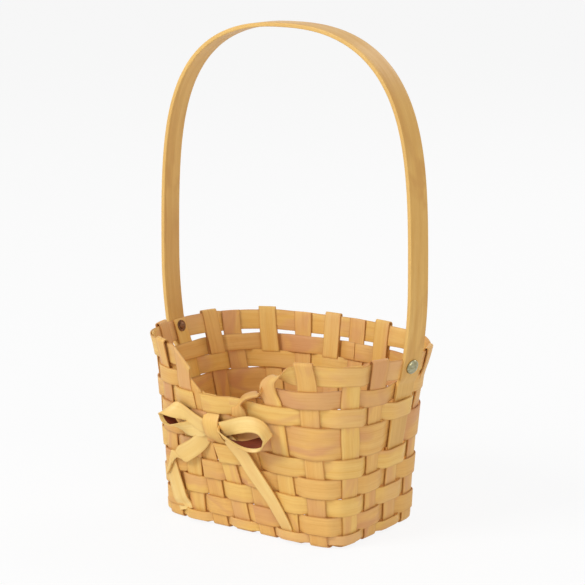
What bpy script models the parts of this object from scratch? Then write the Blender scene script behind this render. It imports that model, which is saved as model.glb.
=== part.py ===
"""Foraging basket woven from wood splint, with a bent-wood handle and a ribbon bow.

The frame: +X to the right along the handle, -Y to the front, +Z up, and the ground at zero.
The uprights are numbered counter-clockwise from the one just right of the front notch.
The rows are numbered from the rim down, from 1.
"""

import math

import bmesh
import bpy
from mathutils import Matrix, Vector

MM = 0.001

# Wall: a rounded rectangle at the base that opens to an oval at the rim
WALL_HEIGHT = 139.0 * MM
RIM_HALF_LENGTH = 107.0 * MM
RIM_HALF_DEPTH = 81.0 * MM
BASE_HALF_LENGTH = 82.5 * MM
BASE_HALF_DEPTH = 55.5 * MM
RIM_SQUARENESS = 2.45
BASE_SQUARENESS = 8.0
SQUARENESS_FALL = 1.7
FLARE_STRAIGHT_SHARE = 0.35

# Splint stock, and the clearance between neighbours
SPLINT_THICKNESS = 0.9 * MM
UPRIGHT_WIDTH = 13.0 * MM
CLEARANCE = 0.3 * MM
CURVE_ALLOWANCE = 0.25 * MM
ROW_GAP = 0.4 * MM
EDGE_MARGIN = 1.0 * MM
UPRIGHT_SWING = 0.3 * MM
BEND_RADIUS = 2.5 * MM

# Rows: the top edge of each as a share of the wall's height, rim row first
ROW_TOP_SHARES = (1.0, 0.863, 0.767, 0.666, 0.490, 0.383, 0.275, 0.174, 0.072)
RIM_SLOT = 3.8 * MM
FOOT_ROW_BOTTOM = 2.8 * MM
ROW_COUNT = len(ROW_TOP_SHARES)
TURNED_ROWS = 2

# Pitch of the splints on the base as a share of the base's half size, and where each reaches
# the rim as a share of the rim's half size
CROSS_PITCH_SHARE = 0.26667
LONG_PITCH_SHARE = 0.44144
CROSS_PITCH = BASE_HALF_LENGTH * CROSS_PITCH_SHARE
LONG_PITCH = BASE_HALF_DEPTH * LONG_PITCH_SHARE
CROSS_COUNT = 7
LONG_COUNT = 4
FRONT_RIM_SHARES = (-0.69, -0.53, -0.36, -0.20, 0.028, 0.322, 0.598)
BACK_RIM_SHARES = (-0.87, -0.66, -0.40, -0.14, 0.07, 0.31, 0.62)
RIGHT_RIM_SHARES = (-0.60, -0.38, 0.0, 0.38)
LEFT_RIM_SHARES = (-0.60, -0.31, 0.0, 0.38)

# First front splint to the right of the notch, and the steps of a diagonal fold
NOTCH_NUMBER = 4
DIAGONAL_STEPS = 6

# Folded uprights: how far the tail runs down the inside
FOLD_TAIL_ROWS = 2
FOLD_STEPS = 4

# Handle strap
TOTAL_HEIGHT = 375.0 * MM
HANDLE_SPREAD = 4.2 * MM
HANDLE_WIDTH = 19.0 * MM
HANDLE_THICKNESS = 3.2 * MM
HANDLE_TIP_THICKNESS = 1.5 * MM
HANDLE_SIDE_POWER = 2.4
HANDLE_TOP_POWER = 4.8
HANDLE_BLEND = 52.0 * MM
HANDLE_ARCH_STEPS = 36
HANDLE_OVER_ROW = 1
HANDLE_UNDER_ROWS = (3, 5)
HANDLE_TIP_SHARE = 0.3

# Rivet and washer
RIVET_LIFT = 2.0 * MM
RIVET_HEAD_RADIUS = 5.0 * MM
RIVET_HEAD_HEIGHT = 2.2 * MM
RIVET_SHANK_RADIUS = 1.5 * MM
RIVET_CLINCH_RADIUS = 2.6 * MM
RIVET_CLINCH_HEIGHT = 1.0 * MM
WASHER_RADIUS = 4.5 * MM
WASHER_THICKNESS = 0.8 * MM
ROUND_SEGMENTS = 16

# Bow ribbon
RIBBON_WIDTH = 13.0 * MM
THREAD_WIDTH = 9.0 * MM
THREAD_SHIFT = 0.6 * MM
KNOT_SLACK = 3.5 * MM
THREAD_START = 2.5 * MM
THREAD_RAMP = 8.0 * MM
TAIL_END_WIDTH = 9.0 * MM
LOOP_STEPS = 16
RIGHT_LOOP_REACH = 50.0 * MM
LEFT_LOOP_REACH = 44.0 * MM
LOOP_HALF_OPENING = 10.0 * MM
LOOP_FLAT_SHARE = 0.36
LOOP_TWIST_POWER = 1.2
RIGHT_LOOP_RISE = -1.0 * MM
LEFT_LOOP_RISE = 7.0 * MM
TEARDROP_PEAK = 1.5 * math.sqrt(3) / 4
CORNER_CUTS = 2
CORNER_SHARE = 0.25
RIGHT_TAIL_SHARES = ((0.40, 0.28), (0.64, 0.48), (0.88, 0.70))
LEFT_TAIL_SHARES = ((0.60, 0.30), (1.14, 0.56), (1.10, 0.72))

# Uprights that other parts meet
RIGHT_HANDLE_UPRIGHT = 5
LEFT_HANDLE_UPRIGHT = 15
KNOT_UPRIGHT = 21
KNOT_ROW = 4
FOOT_ROW = ROW_COUNT
RIGHT_TAIL_UPRIGHT = 1
LEFT_TAIL_UPRIGHT = 19
TURNED_RIGHT = {2: 0, 1: 1}
TURNED_LEFT = {2: 20, 1: 19}
JOINT_UPRIGHT = {1: 10, 2: 9}
JOINT_GAP = 0.6 * MM

START_ANGLE = -math.pi / 2
SURFACE_STEP = 0.05 * MM
ANGLE_STEP = 0.0005
ARCH_SEARCH_STEPS = 40
GRID_HALF_SIZE = 0.5

SPLINT_COLOURS = {
    "pale": (0.78, 0.50, 0.20, 1.0),
    "warm": (0.74, 0.43, 0.17, 1.0),
    "ribbon": (0.84, 0.58, 0.26, 1.0),
    "handle": (0.68, 0.42, 0.16, 1.0),
}
SPLINT_ROUGHNESS = 0.6
METAL_COLOUR = (0.42, 0.40, 0.33, 1.0)
METAL_ROUGHNESS = 0.35


def clear_scene():
    for item in list(bpy.data.objects):
        bpy.data.objects.remove(item, do_unlink=True)


def make_collection():
    collection = bpy.data.collections.new("foraging_basket")
    bpy.context.scene.collection.children.link(collection)
    cutters = bpy.data.collections.new("cutters")
    bpy.context.scene.collection.children.link(cutters)
    return collection, cutters


def make_material(name, colour, roughness, metallic=0.0):
    material = bpy.data.materials.new(name)
    material.use_nodes = True
    shader = material.node_tree.nodes["Principled BSDF"]
    shader.inputs["Base Color"].default_value = colour
    shader.inputs["Roughness"].default_value = roughness
    shader.inputs["Metallic"].default_value = metallic
    return material


# The wall as a surface

def plan_sizes(height):
    """Half length, half depth and squareness of the wall's plan at a height."""
    rise = height / WALL_HEIGHT
    flare = FLARE_STRAIGHT_SHARE * rise + (1 - FLARE_STRAIGHT_SHARE) * rise * rise
    half_length = BASE_HALF_LENGTH + (RIM_HALF_LENGTH - BASE_HALF_LENGTH) * flare
    half_depth = BASE_HALF_DEPTH + (RIM_HALF_DEPTH - BASE_HALF_DEPTH) * flare
    left = (1 - min(max(rise, 0), 1)) ** SQUARENESS_FALL
    squareness = RIM_SQUARENESS + (BASE_SQUARENESS - RIM_SQUARENESS) * left
    return half_length, half_depth, squareness


def wall_point(angle, height):
    half_length, half_depth, power = plan_sizes(height)
    across = abs(math.cos(angle) / half_length) ** power
    deep = abs(math.sin(angle) / half_depth) ** power
    reach = (across + deep) ** (-1 / power)
    return Vector((reach * math.cos(angle), reach * math.sin(angle), height))


def wall_normal(angle, height):
    around = wall_point(angle + ANGLE_STEP, height) - wall_point(angle - ANGLE_STEP, height)
    upwards = wall_point(angle, height + SURFACE_STEP) - wall_point(angle, height - SURFACE_STEP)
    return around.cross(upwards).normalized()


def on_wall(angle, height, standoff):
    return wall_point(angle, height) + wall_normal(angle, height) * standoff


def side_angle(side, coordinate, height):
    """Plan angle of the wall point on one side with this X (front, back) or Y (right, left)."""
    half_length, half_depth, power = plan_sizes(height)
    if side in ("front", "back"):
        share = min(abs(coordinate) / half_length, 1.0)
        depth = half_depth * (1 - share ** power) ** (1 / power)
        return math.atan2(-depth if side == "front" else depth, coordinate)
    share = min(abs(coordinate) / half_depth, 1.0)
    length = half_length * (1 - share ** power) ** (1 / power)
    return math.atan2(coordinate, length if side == "right" else -length)


def on_side(side, coordinate, height, standoff):
    return on_wall(side_angle(side, coordinate, height), height, standoff)


# The uprights: where each splint's two ends climb the wall

def base_places(count, pitch):
    return [(number - (count - 1) / 2) * pitch for number in range(count)]


CROSS_PLACES = base_places(CROSS_COUNT, CROSS_PITCH)
LONG_PLACES = base_places(LONG_COUNT, LONG_PITCH)
RIM_SHARES = {
    "front": FRONT_RIM_SHARES,
    "back": BACK_RIM_SHARES,
    "right": RIGHT_RIM_SHARES,
    "left": LEFT_RIM_SHARES,
}
UPRIGHTS = (
    [("front", number) for number in range(NOTCH_NUMBER, CROSS_COUNT)]
    + [("right", number) for number in range(LONG_COUNT)]
    + [("back", number) for number in reversed(range(CROSS_COUNT))]
    + [("left", number) for number in reversed(range(LONG_COUNT))]
    + [("front", number) for number in range(NOTCH_NUMBER)]
)
UPRIGHT_COUNT = len(UPRIGHTS)


def upright_place(upright, height):
    """X or Y of an upright's centre line at a height."""
    side, number = UPRIGHTS[upright % UPRIGHT_COUNT]
    if side in ("front", "back"):
        base, rim_half = CROSS_PLACES[number], RIM_HALF_LENGTH
    else:
        base, rim_half = LONG_PLACES[number], RIM_HALF_DEPTH
    rim = RIM_SHARES[side][number] * rim_half
    return base + (rim - base) * height / WALL_HEIGHT


def upright_angle(upright, height):
    """Plan angle of an upright, growing all the way round with the upright's number."""
    turns, number = divmod(upright, UPRIGHT_COUNT)
    side = UPRIGHTS[number][0]
    angle = side_angle(side, upright_place(number, height), height)
    return (angle - START_ANGLE) % math.tau + START_ANGLE + turns * math.tau


def ring_angle(station, height):
    before = math.floor(station)
    low = upright_angle(before, height)
    high = upright_angle(before + 1, height)
    return low + (high - low) * (station - before)


def half_width_share(upright, direction, half_width, height):
    """A half width as a share of the pitch to the next upright on one side."""
    here = wall_point(upright_angle(upright, height), height)
    there = wall_point(upright_angle(upright + direction, height), height)
    return half_width / (there - here).length


def row_edges(row):
    top = ROW_TOP_SHARES[row - 1] * WALL_HEIGHT
    if row == FOOT_ROW:
        return FOOT_ROW_BOTTOM, top
    gap = RIM_SLOT if row == 1 else ROW_GAP
    return ROW_TOP_SHARES[row] * WALL_HEIGHT + gap, top


def row_middle(row):
    low, high = row_edges(row)
    return (low + high) / 2


def upright_is_outside(upright, row):
    return (upright + row) % 2 == 1


def upright_standoff(upright, height):
    """Standoff of an upright's middle, swinging out and in from row to row."""
    middles = [row_middle(row) for row in range(1, ROW_COUNT + 1)]
    swings = [UPRIGHT_SWING if upright_is_outside(upright, row) else -UPRIGHT_SWING
              for row in range(1, ROW_COUNT + 1)]
    if height >= middles[0]:
        return swings[0]
    for row in range(1, ROW_COUNT):
        if height >= middles[row]:
            share = (height - middles[row]) / (middles[row - 1] - middles[row])
            return swings[row] + (swings[row - 1] - swings[row]) * share
    return swings[-1] * max(height, 0) / middles[-1]


# Handle strap along the wall

SPLINT_STEP = SPLINT_THICKNESS + CLEARANCE
WEAVER_SWING = SPLINT_STEP + CURVE_ALLOWANCE
HANDLE_TIP_HEIGHT = (row_edges(HANDLE_UNDER_ROWS[-1])[0]
                     + HANDLE_TIP_SHARE * UPRIGHT_WIDTH)
RIVET_HEIGHT = row_middle(HANDLE_OVER_ROW) + RIVET_LIFT


def handle_thickness(height):
    top = RIVET_HEIGHT
    share = min(max((height - HANDLE_TIP_HEIGHT) / (top - HANDLE_TIP_HEIGHT), 0), 1)
    return HANDLE_TIP_THICKNESS + (HANDLE_THICKNESS - HANDLE_TIP_THICKNESS) * share


def handle_standoff(upright, height):
    """The strap lies on the upright, and over the rim row where that row is outside."""
    seat = upright_standoff(upright, height)
    if height >= row_edges(HANDLE_OVER_ROW)[0] - ROW_GAP:
        seat = WEAVER_SWING
    return seat + SPLINT_THICKNESS / 2 + CLEARANCE + handle_thickness(height) / 2


def crossing_standoff(upright, row):
    """Standoff of a row where it passes an upright, in or out."""
    number = upright % UPRIGHT_COUNT
    if upright_is_outside(number, row):
        return -WEAVER_SWING
    over_handle = number in (RIGHT_HANDLE_UPRIGHT, LEFT_HANDLE_UPRIGHT)
    if over_handle and row in HANDLE_UNDER_ROWS:
        height = row_edges(row)[1]
        strap_face = handle_standoff(number, height) + handle_thickness(height) / 2
        return strap_face + CLEARANCE + CURVE_ALLOWANCE + SPLINT_THICKNESS / 2
    if number in (RIGHT_TAIL_UPRIGHT, LEFT_TAIL_UPRIGHT) and row == FOOT_ROW:
        return WEAVER_SWING + SPLINT_STEP
    return WEAVER_SWING


def crossing_half_width(upright):
    number = upright % UPRIGHT_COUNT
    if number in (RIGHT_HANDLE_UPRIGHT, LEFT_HANDLE_UPRIGHT):
        return HANDLE_WIDTH / 2 + EDGE_MARGIN
    return UPRIGHT_WIDTH / 2 + EDGE_MARGIN


def row_stations(row, first, last):
    """Stations round the wall and their standoffs from one upright to another."""
    height = row_middle(row)
    stations = []
    for upright in range(first, last + 1):
        standoff = crossing_standoff(upright, row)
        before = half_width_share(upright, -1, crossing_half_width(upright), height)
        after = half_width_share(upright, 1, crossing_half_width(upright), height)
        stations.append((upright - before, standoff))
        stations.append((upright, standoff))
        stations.append((upright + after, standoff))
        following = crossing_standoff(upright + 1, row)
        ahead = half_width_share(upright + 1, -1, crossing_half_width(upright + 1), height)
        middle = (upright + after + upright + 1 - ahead) / 2
        stations.append((middle, (standoff + following) / 2))
    return stations


def row_column(row, station, standoff, shares):
    low, high = row_edges(row)
    heights = [low + (high - low) * share for share in shares]
    return [on_wall(ring_angle(station, height), height, standoff) for height in heights]


# Bow layers behind the upright that holds it, from the wall outwards

TAIL_LAYER = -WEAVER_SWING + SPLINT_STEP
LOWER_LAYER = TAIL_LAYER + SPLINT_STEP
UPPER_LAYER = LOWER_LAYER + SPLINT_STEP
KNOT_STANDOFF = UPPER_LAYER + SPLINT_STEP + KNOT_SLACK
THREAD_HALF_HEIGHT = THREAD_WIDTH / 2 + THREAD_SHIFT + 2 * EDGE_MARGIN
TAIL_STANDOFF = WEAVER_SWING + SPLINT_STEP + CURVE_ALLOWANCE


# Strips

def add_strip(name, columns, thickness, material, collection, closed=False, weights=None,
              twisted=False):
    """A splint: a grid laid along its columns of points, thickened evenly."""
    lengths = len(columns) if closed else len(columns) - 1
    widths = len(columns[0]) - 1
    shape = bmesh.new()
    bmesh.ops.create_grid(shape, x_segments=lengths, y_segments=widths, size=GRID_HALF_SIZE)
    layer = shape.verts.layers.deform.new() if weights else None
    for vertex in shape.verts:
        along = round((vertex.co.x + GRID_HALF_SIZE) * lengths) % len(columns)
        across = round((vertex.co.y + GRID_HALF_SIZE) * widths)
        vertex.co = columns[along][across]
        if weights:
            vertex[layer][0] = weights[along]
    if closed:
        bmesh.ops.remove_doubles(shape, verts=shape.verts, dist=SURFACE_STEP)
    mesh = bpy.data.meshes.new(name)
    shape.to_mesh(mesh)
    shape.free()
    strip = bpy.data.objects.new(name, mesh)
    collection.objects.link(strip)
    mesh.materials.append(material)
    solid = strip.modifiers.new("Thickness", "SOLIDIFY")
    solid.thickness = thickness
    solid.offset = 0
    solid.use_even_offset = not twisted
    solid.use_quality_normals = True
    if weights:
        strip.vertex_groups.new(name="thickness")
        solid.vertex_group = "thickness"
    return strip


def upright_column(upright, height, standoff):
    """Three points across an upright at a height."""
    side = UPRIGHTS[upright][0]
    place = upright_place(upright, height)
    here = on_side(side, place, height, 0)
    near = on_side(side, place + SURFACE_STEP, height, 0)
    half = UPRIGHT_WIDTH / 2 * SURFACE_STEP / (near - here).length
    return [on_side(side, place + half * share, height, standoff) for share in (-1, 0, 1)]


def climb_columns(upright, top):
    """Columns up the wall from just above the base bend to a height."""
    places = []
    for row in range(ROW_COUNT, 0, -1):
        middle = row_middle(row)
        if (upright, row) == (KNOT_UPRIGHT, KNOT_ROW):
            low, high = row_edges(row)
            places += [(low, 0), (middle - THREAD_HALF_HEIGHT, KNOT_STANDOFF),
                       (middle + THREAD_HALF_HEIGHT, KNOT_STANDOFF), (high, 0)]
        elif middle < top:
            places.append((middle, upright_standoff(upright, middle)))
    places.append((top, upright_standoff(upright, top)))
    return [upright_column(upright, height, standoff) for height, standoff in places]


def fold_columns(upright):
    """The end of an upright that is folded over the rim row and runs down inside."""
    outer = UPRIGHT_SWING
    inner = -WEAVER_SWING - SPLINT_STEP
    radius = (outer - inner) / 2
    columns = []
    for step in range(1, FOLD_STEPS + 1):
        turn = math.pi * step / FOLD_STEPS
        height = WALL_HEIGHT + radius * math.sin(turn)
        standoff = (outer + inner) / 2 + radius * math.cos(turn)
        columns.append(upright_column(upright, height, standoff))
    for row in range(1, FOLD_TAIL_ROWS + 1):
        columns.append(upright_column(upright, row_middle(row), inner))
        columns.append(upright_column(upright, row_edges(row)[0] + ROW_GAP, inner))
    return columns


def diagonal_columns(upright, row, direction):
    """An upright's end folded inwards on a slant, so that it runs off sideways as a row."""
    low, high = row_edges(row)
    middle = (low + high) / 2
    centre = upright_place(upright, middle)
    begin = upright_standoff(upright, row_edges(row + 1)[1])
    finish = crossing_standoff(upright + direction, row)
    radius = (begin - finish) / 2
    wrap = math.pi * radius / 2
    start = low - math.sqrt(2) * wrap - EDGE_MARGIN
    columns = [upright_column(upright, start, begin)]
    for step in range(DIAGONAL_STEPS + 1):
        turn = math.pi * step / DIAGONAL_STEPS
        half = UPRIGHT_WIDTH / 2 + ((high - low) / 2 - UPRIGHT_WIDTH / 2) * step / DIAGONAL_STEPS
        run = radius * turn - wrap
        offset = radius * math.sin(turn) - wrap
        column = []
        for side in (-1, 0, 1):
            slant = math.sqrt(2) * direction * side * half + run
            column.append(on_side("front", centre + direction * (slant - offset) / math.sqrt(2),
                                  middle + (slant + offset) / math.sqrt(2),
                                  begin - radius * (1 - math.cos(turn))))
        columns.append(column)
    return columns


def turned_row_columns(upright, row, direction):
    """The stretch of a top row that one turned upright makes, up to the joint at the back."""
    joint = JOINT_UPRIGHT[row]
    height = row_middle(row)
    if direction > 0:
        gap = half_width_share(joint, -1, JOINT_GAP / 2, height)
        stations = row_stations(row, upright + 1, joint)
        stations = [item for item in stations if item[0] < joint - gap]
        stations.append((joint - gap, crossing_standoff(joint, row)))
        shares = (0, 0.5, 1)
    else:
        gap = half_width_share(joint, 1, JOINT_GAP / 2, height)
        stations = row_stations(row, joint, upright - 1)[:-1]
        stations = [item for item in stations if item[0] > joint + gap]
        stations.insert(0, (joint + gap, crossing_standoff(joint, row)))
        stations.reverse()
        shares = (1, 0.5, 0)
    return [row_column(row, station, standoff, shares) for station, standoff in stations]


# Base

BASE_LOW = SPLINT_THICKNESS / 2
BASE_HIGH = BASE_LOW + SPLINT_STEP
BASE_EDGE = (BASE_LOW + BASE_HIGH) / 2


def bend_columns(upright):
    """The bend from the base up into the wall, listed from the base outwards."""
    side = UPRIGHTS[upright][0]
    centre_height = BASE_EDGE + BEND_RADIUS
    foot = upright_column(upright, centre_height, 0)
    outward = Vector((0, -1, 0)) if side == "front" else Vector((0, 1, 0))
    if side in ("right", "left"):
        outward = Vector((1, 0, 0)) if side == "right" else Vector((-1, 0, 0))
    columns = []
    for turn in (0, math.pi / 4, math.pi / 2):
        shift = outward * BEND_RADIUS * (math.sin(turn) - 1)
        lift = Vector((0, 0, -BEND_RADIUS * math.cos(turn)))
        columns.append([point + shift + lift for point in foot])
    return columns


def crossing_columns(upright, places):
    """Columns over the base, passing over and under the splints that cross it."""
    side, number = UPRIGHTS[upright]
    along_y = side in ("front", "back")
    foot = upright_column(upright, BASE_EDGE + BEND_RADIUS, 0)
    across = [point.x if along_y else point.y for point in foot]
    start_high = upright_is_outside(upright, FOOT_ROW)
    columns = []
    for order, place in enumerate(places):
        height = BASE_HIGH if (order % 2 == 0) == start_high else BASE_LOW
        reach = UPRIGHT_WIDTH / 2 + EDGE_MARGIN
        direction = 1 if places[-1] > places[0] else -1
        for edge in (-reach, reach):
            along = place + direction * edge
            if along_y:
                columns.append([Vector((value, along, height)) for value in across])
            else:
                columns.append([Vector((along, value, height)) for value in across])
    return columns


def end_columns(upright):
    """One end of a splint from its base bend to its tip."""
    columns = bend_columns(upright)
    for direction, turned in ((1, TURNED_RIGHT), (-1, TURNED_LEFT)):
        for row, folded in turned.items():
            if upright == folded:
                columns += climb_columns(upright, row_edges(row + 1)[1])[:-1]
                columns += diagonal_columns(upright, row, direction)
                return columns + turned_row_columns(upright, row, direction)
    if upright == KNOT_UPRIGHT:
        return columns + climb_columns(upright, row_edges(TURNED_ROWS + 1)[1])
    columns += climb_columns(upright, WALL_HEIGHT)
    if upright_is_outside(upright, 1):
        columns += fold_columns(upright)
    return columns


def add_splints(collection, materials):
    """The splints that cross the base, each from one tip to the other."""
    strips = []
    for number in range(CROSS_COUNT):
        first = UPRIGHTS.index(("front", number))
        last = UPRIGHTS.index(("back", number))
        columns = list(reversed(end_columns(first)))
        columns += crossing_columns(first, LONG_PLACES)
        columns += end_columns(last)
        strips.append(add_strip("cross_splint_%d" % (number + 1), columns, SPLINT_THICKNESS,
                                materials["pale" if number % 2 else "warm"], collection))
    for number in range(LONG_COUNT):
        first = UPRIGHTS.index(("left", number))
        last = UPRIGHTS.index(("right", number))
        columns = list(reversed(end_columns(first)))
        columns += crossing_columns(first, CROSS_PLACES)
        columns += end_columns(last)
        strips.append(add_strip("long_splint_%d" % (number + 1), columns, SPLINT_THICKNESS,
                                materials["warm" if number % 2 else "pale"], collection))
    return strips


def add_weavers(collection, materials):
    """The rows that run all the way round."""
    for row in range(TURNED_ROWS + 1, ROW_COUNT + 1):
        stations = row_stations(row, 0, UPRIGHT_COUNT - 1)
        columns = [row_column(row, station, standoff, (0, 1)) for station, standoff in stations]
        add_strip("weaver_row_%d" % row, columns, SPLINT_THICKNESS,
                  materials["pale" if row % 2 else "warm"], collection, closed=True)


# Handle

def arch_reach(lean, width, height):
    """Distance from the arch's centre to its curve at an angle from the vertical."""
    low, high = 0, width + height
    for _ in range(ARCH_SEARCH_STEPS):
        reach = (low + high) / 2
        side = (reach * abs(math.sin(lean)) / width) ** HANDLE_SIDE_POWER
        top = (reach * abs(math.cos(lean)) / height) ** HANDLE_TOP_POWER
        if side + top > 1:
            high = reach
        else:
            low = reach
    return reach


def handle_tail(upright):
    """Centre points and thicknesses of the strap's tail, from its tip up to the rim."""
    side = UPRIGHTS[upright][0]
    heights = [HANDLE_TIP_HEIGHT]
    for row in range(HANDLE_UNDER_ROWS[-1], HANDLE_OVER_ROW, -1):
        heights += [row_middle(row), row_edges(row)[1]]
    heights = [height for height in heights if height >= HANDLE_TIP_HEIGHT]
    heights += [row_edges(HANDLE_OVER_ROW)[0] - ROW_GAP, RIVET_HEIGHT, WALL_HEIGHT]
    points = []
    for height in heights:
        standoff = handle_standoff(upright, height)
        place = upright_place(upright, height)
        points.append((on_side(side, place, height, standoff), handle_thickness(height)))
    return points


def add_handle(collection, materials):
    right = handle_tail(RIGHT_HANDLE_UPRIGHT)
    left = handle_tail(LEFT_HANDLE_UPRIGHT)
    springing = right[-1][0]
    rise = TOTAL_HEIGHT - HANDLE_THICKNESS / 2 - springing.z
    half_span = springing.x + HANDLE_SPREAD
    arch = []
    for step in range(1, HANDLE_ARCH_STEPS):
        lean = math.pi / 2 - math.pi * step / HANDLE_ARCH_STEPS
        reach = arch_reach(lean, half_span, rise)
        height = reach * math.cos(lean)
        blend = max(1 - height / HANDLE_BLEND, 0)
        across = reach * math.sin(lean)
        across -= math.copysign(HANDLE_SPREAD * blend * blend, across)
        arch.append((Vector((across, 0, springing.z + height)), HANDLE_THICKNESS))
    path = right + arch + list(reversed(left))
    half = Vector((0, HANDLE_WIDTH / 2, 0))
    columns = [[point - half, point, point + half] for point, thickness in path]
    weights = [thickness / HANDLE_THICKNESS for point, thickness in path]
    return add_strip("handle", columns, HANDLE_THICKNESS, materials["handle"], collection,
                     weights=weights)


# Rivets

def rivet_frame(upright):
    """Matrix whose +Z is the wall's outward normal at the rivet, at zero standoff."""
    side = UPRIGHTS[upright][0]
    angle = side_angle(side, upright_place(upright, RIVET_HEIGHT), RIVET_HEIGHT)
    normal = wall_normal(angle, RIVET_HEIGHT)
    turn = normal.to_track_quat("Z", "Y").to_matrix().to_4x4()
    return Matrix.Translation(wall_point(angle, RIVET_HEIGHT)) @ turn


def turned_object(name, profile, frame, material, collection, closed=False):
    """A turned piece from a profile of (radius, height) points, top to bottom."""
    shape = bmesh.new()
    verts = [shape.verts.new((radius, 0, height)) for radius, height in profile]
    for first, second in zip(verts, verts[1:]):
        shape.edges.new((first, second))
    if closed:
        shape.edges.new((verts[-1], verts[0]))
    mesh = bpy.data.meshes.new(name)
    shape.to_mesh(mesh)
    shape.free()
    mesh.materials.append(material)
    item = bpy.data.objects.new(name, mesh)
    collection.objects.link(item)
    item.matrix_world = frame
    screw = item.modifiers.new("Turn", "SCREW")
    screw.axis = "Z"
    screw.steps = ROUND_SEGMENTS
    screw.render_steps = ROUND_SEGMENTS
    screw.use_merge_vertices = True
    screw.merge_threshold = SURFACE_STEP
    return item


def rivet_levels():
    """Standoffs of the head's seat, the washer's two faces and the clinched end."""
    head = handle_standoff(RIGHT_HANDLE_UPRIGHT, RIVET_HEIGHT) + HANDLE_THICKNESS / 2 + CLEARANCE
    washer_top = upright_standoff(RIGHT_HANDLE_UPRIGHT, RIVET_HEIGHT)
    washer_top -= SPLINT_THICKNESS / 2 + CLEARANCE
    washer_bottom = washer_top - WASHER_THICKNESS
    return head, washer_top, washer_bottom, washer_bottom - CLEARANCE


def add_rivets(collection, cutters, metal):
    head, washer_top, washer_bottom, clinch = rivet_levels()
    drills = {}
    for side, upright in (("right", RIGHT_HANDLE_UPRIGHT), ("left", LEFT_HANDLE_UPRIGHT)):
        frame = rivet_frame(upright)
        dome = [
            (RIVET_HEAD_RADIUS * math.sin(turn), head + RIVET_HEAD_HEIGHT * math.cos(turn))
            for turn in (0, math.pi / 6, math.pi / 3, math.pi / 2)
        ]
        clinched = [
            (RIVET_CLINCH_RADIUS * math.sin(turn), clinch + RIVET_CLINCH_HEIGHT * math.cos(turn))
            for turn in (math.pi / 2, math.pi * 3 / 4, math.pi)
        ]
        profile = dome + [(RIVET_SHANK_RADIUS, head), (RIVET_SHANK_RADIUS, clinch)] + clinched
        turned_object("rivet_%s" % side, profile, frame, metal, collection)
        bore = RIVET_SHANK_RADIUS + CLEARANCE
        washer = [(bore, washer_top), (WASHER_RADIUS, washer_top),
                  (WASHER_RADIUS, washer_bottom), (bore, washer_bottom)]
        turned_object("rivet_washer_%s" % side, washer, frame, metal, collection, closed=True)
        shape = bmesh.new()
        bmesh.ops.create_cone(shape, cap_ends=True, segments=ROUND_SEGMENTS, radius1=bore,
                              radius2=bore, depth=2 * (head + HANDLE_THICKNESS))
        mesh = bpy.data.meshes.new("rivet_drill_%s" % side)
        shape.to_mesh(mesh)
        shape.free()
        drill = bpy.data.objects.new("rivet_drill_%s" % side, mesh)
        cutters.objects.link(drill)
        drill.matrix_world = frame
        drill.display_type = "WIRE"
        drill.hide_render = True
        drills[side] = drill
    return drills


def drill_through(item, drill):
    cut = item.modifiers.new("Rivet hole", "BOOLEAN")
    cut.operation = "DIFFERENCE"
    cut.object = drill
    cut.solver = "EXACT"


# Bow

def loop_column(direction, turn, reach, rise):
    """One column of a loop: turn runs from zero at its upper strand to a full turn at its lower."""
    middle = row_middle(KNOT_ROW)
    start = upright_place(KNOT_UPRIGHT, middle) + direction * THREAD_START
    out = math.sin(turn / 2) ** 2
    ramp = min(out * reach / THREAD_RAMP, 1)
    upper = turn < math.pi
    layer, clear = (UPPER_LAYER, 2) if upper else (LOWER_LAYER, 1)
    seat = layer + (TAIL_STANDOFF + clear * SPLINT_STEP - layer) * ramp
    turned = max((out - LOOP_FLAT_SHARE) / (1 - LOOP_FLAT_SHARE), 0)
    twist = math.pi / 2 * turned ** LOOP_TWIST_POWER
    face = twist if upper else math.pi - twist
    half = (THREAD_WIDTH + (RIBBON_WIDTH - THREAD_WIDTH) * ramp * ramp) / 2
    sway = LOOP_HALF_OPENING * math.sin(turn) * out / TEARDROP_PEAK
    height = middle + sway + rise * out * out + THREAD_SHIFT * math.cos(turn / 2)
    across = start + direction * reach * out
    standoff = seat + half * math.sin(twist)
    return [on_side("front", across, height + half * share * math.cos(face),
                    standoff - half * share * math.sin(face)) for share in (-1, 0, 1)]


def loop_turns(reach):
    """Turns of a loop's columns, with one where the ribbon has come clear of the rows."""
    clear = 2 * math.asin(math.sqrt(THREAD_RAMP / reach))
    steps = LOOP_STEPS // 2
    turns = [0, clear / 2]
    turns += [clear + (math.pi - clear) * step / steps for step in range(steps + 1)]
    return turns + [math.tau - turn for turn in reversed(turns[:-1])]


def add_bow_loops(collection, material):
    """One ribbon, closed behind the upright, with a loop on each side of it."""
    columns = [loop_column(1, turn, RIGHT_LOOP_REACH, RIGHT_LOOP_RISE)
               for turn in loop_turns(RIGHT_LOOP_REACH)]
    columns += [loop_column(-1, turn, LEFT_LOOP_REACH, LEFT_LOOP_RISE)
                for turn in reversed(loop_turns(LEFT_LOOP_REACH))]
    add_strip("bow_loops", columns, SPLINT_THICKNESS, material, collection, closed=True,
              twisted=True)


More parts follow.
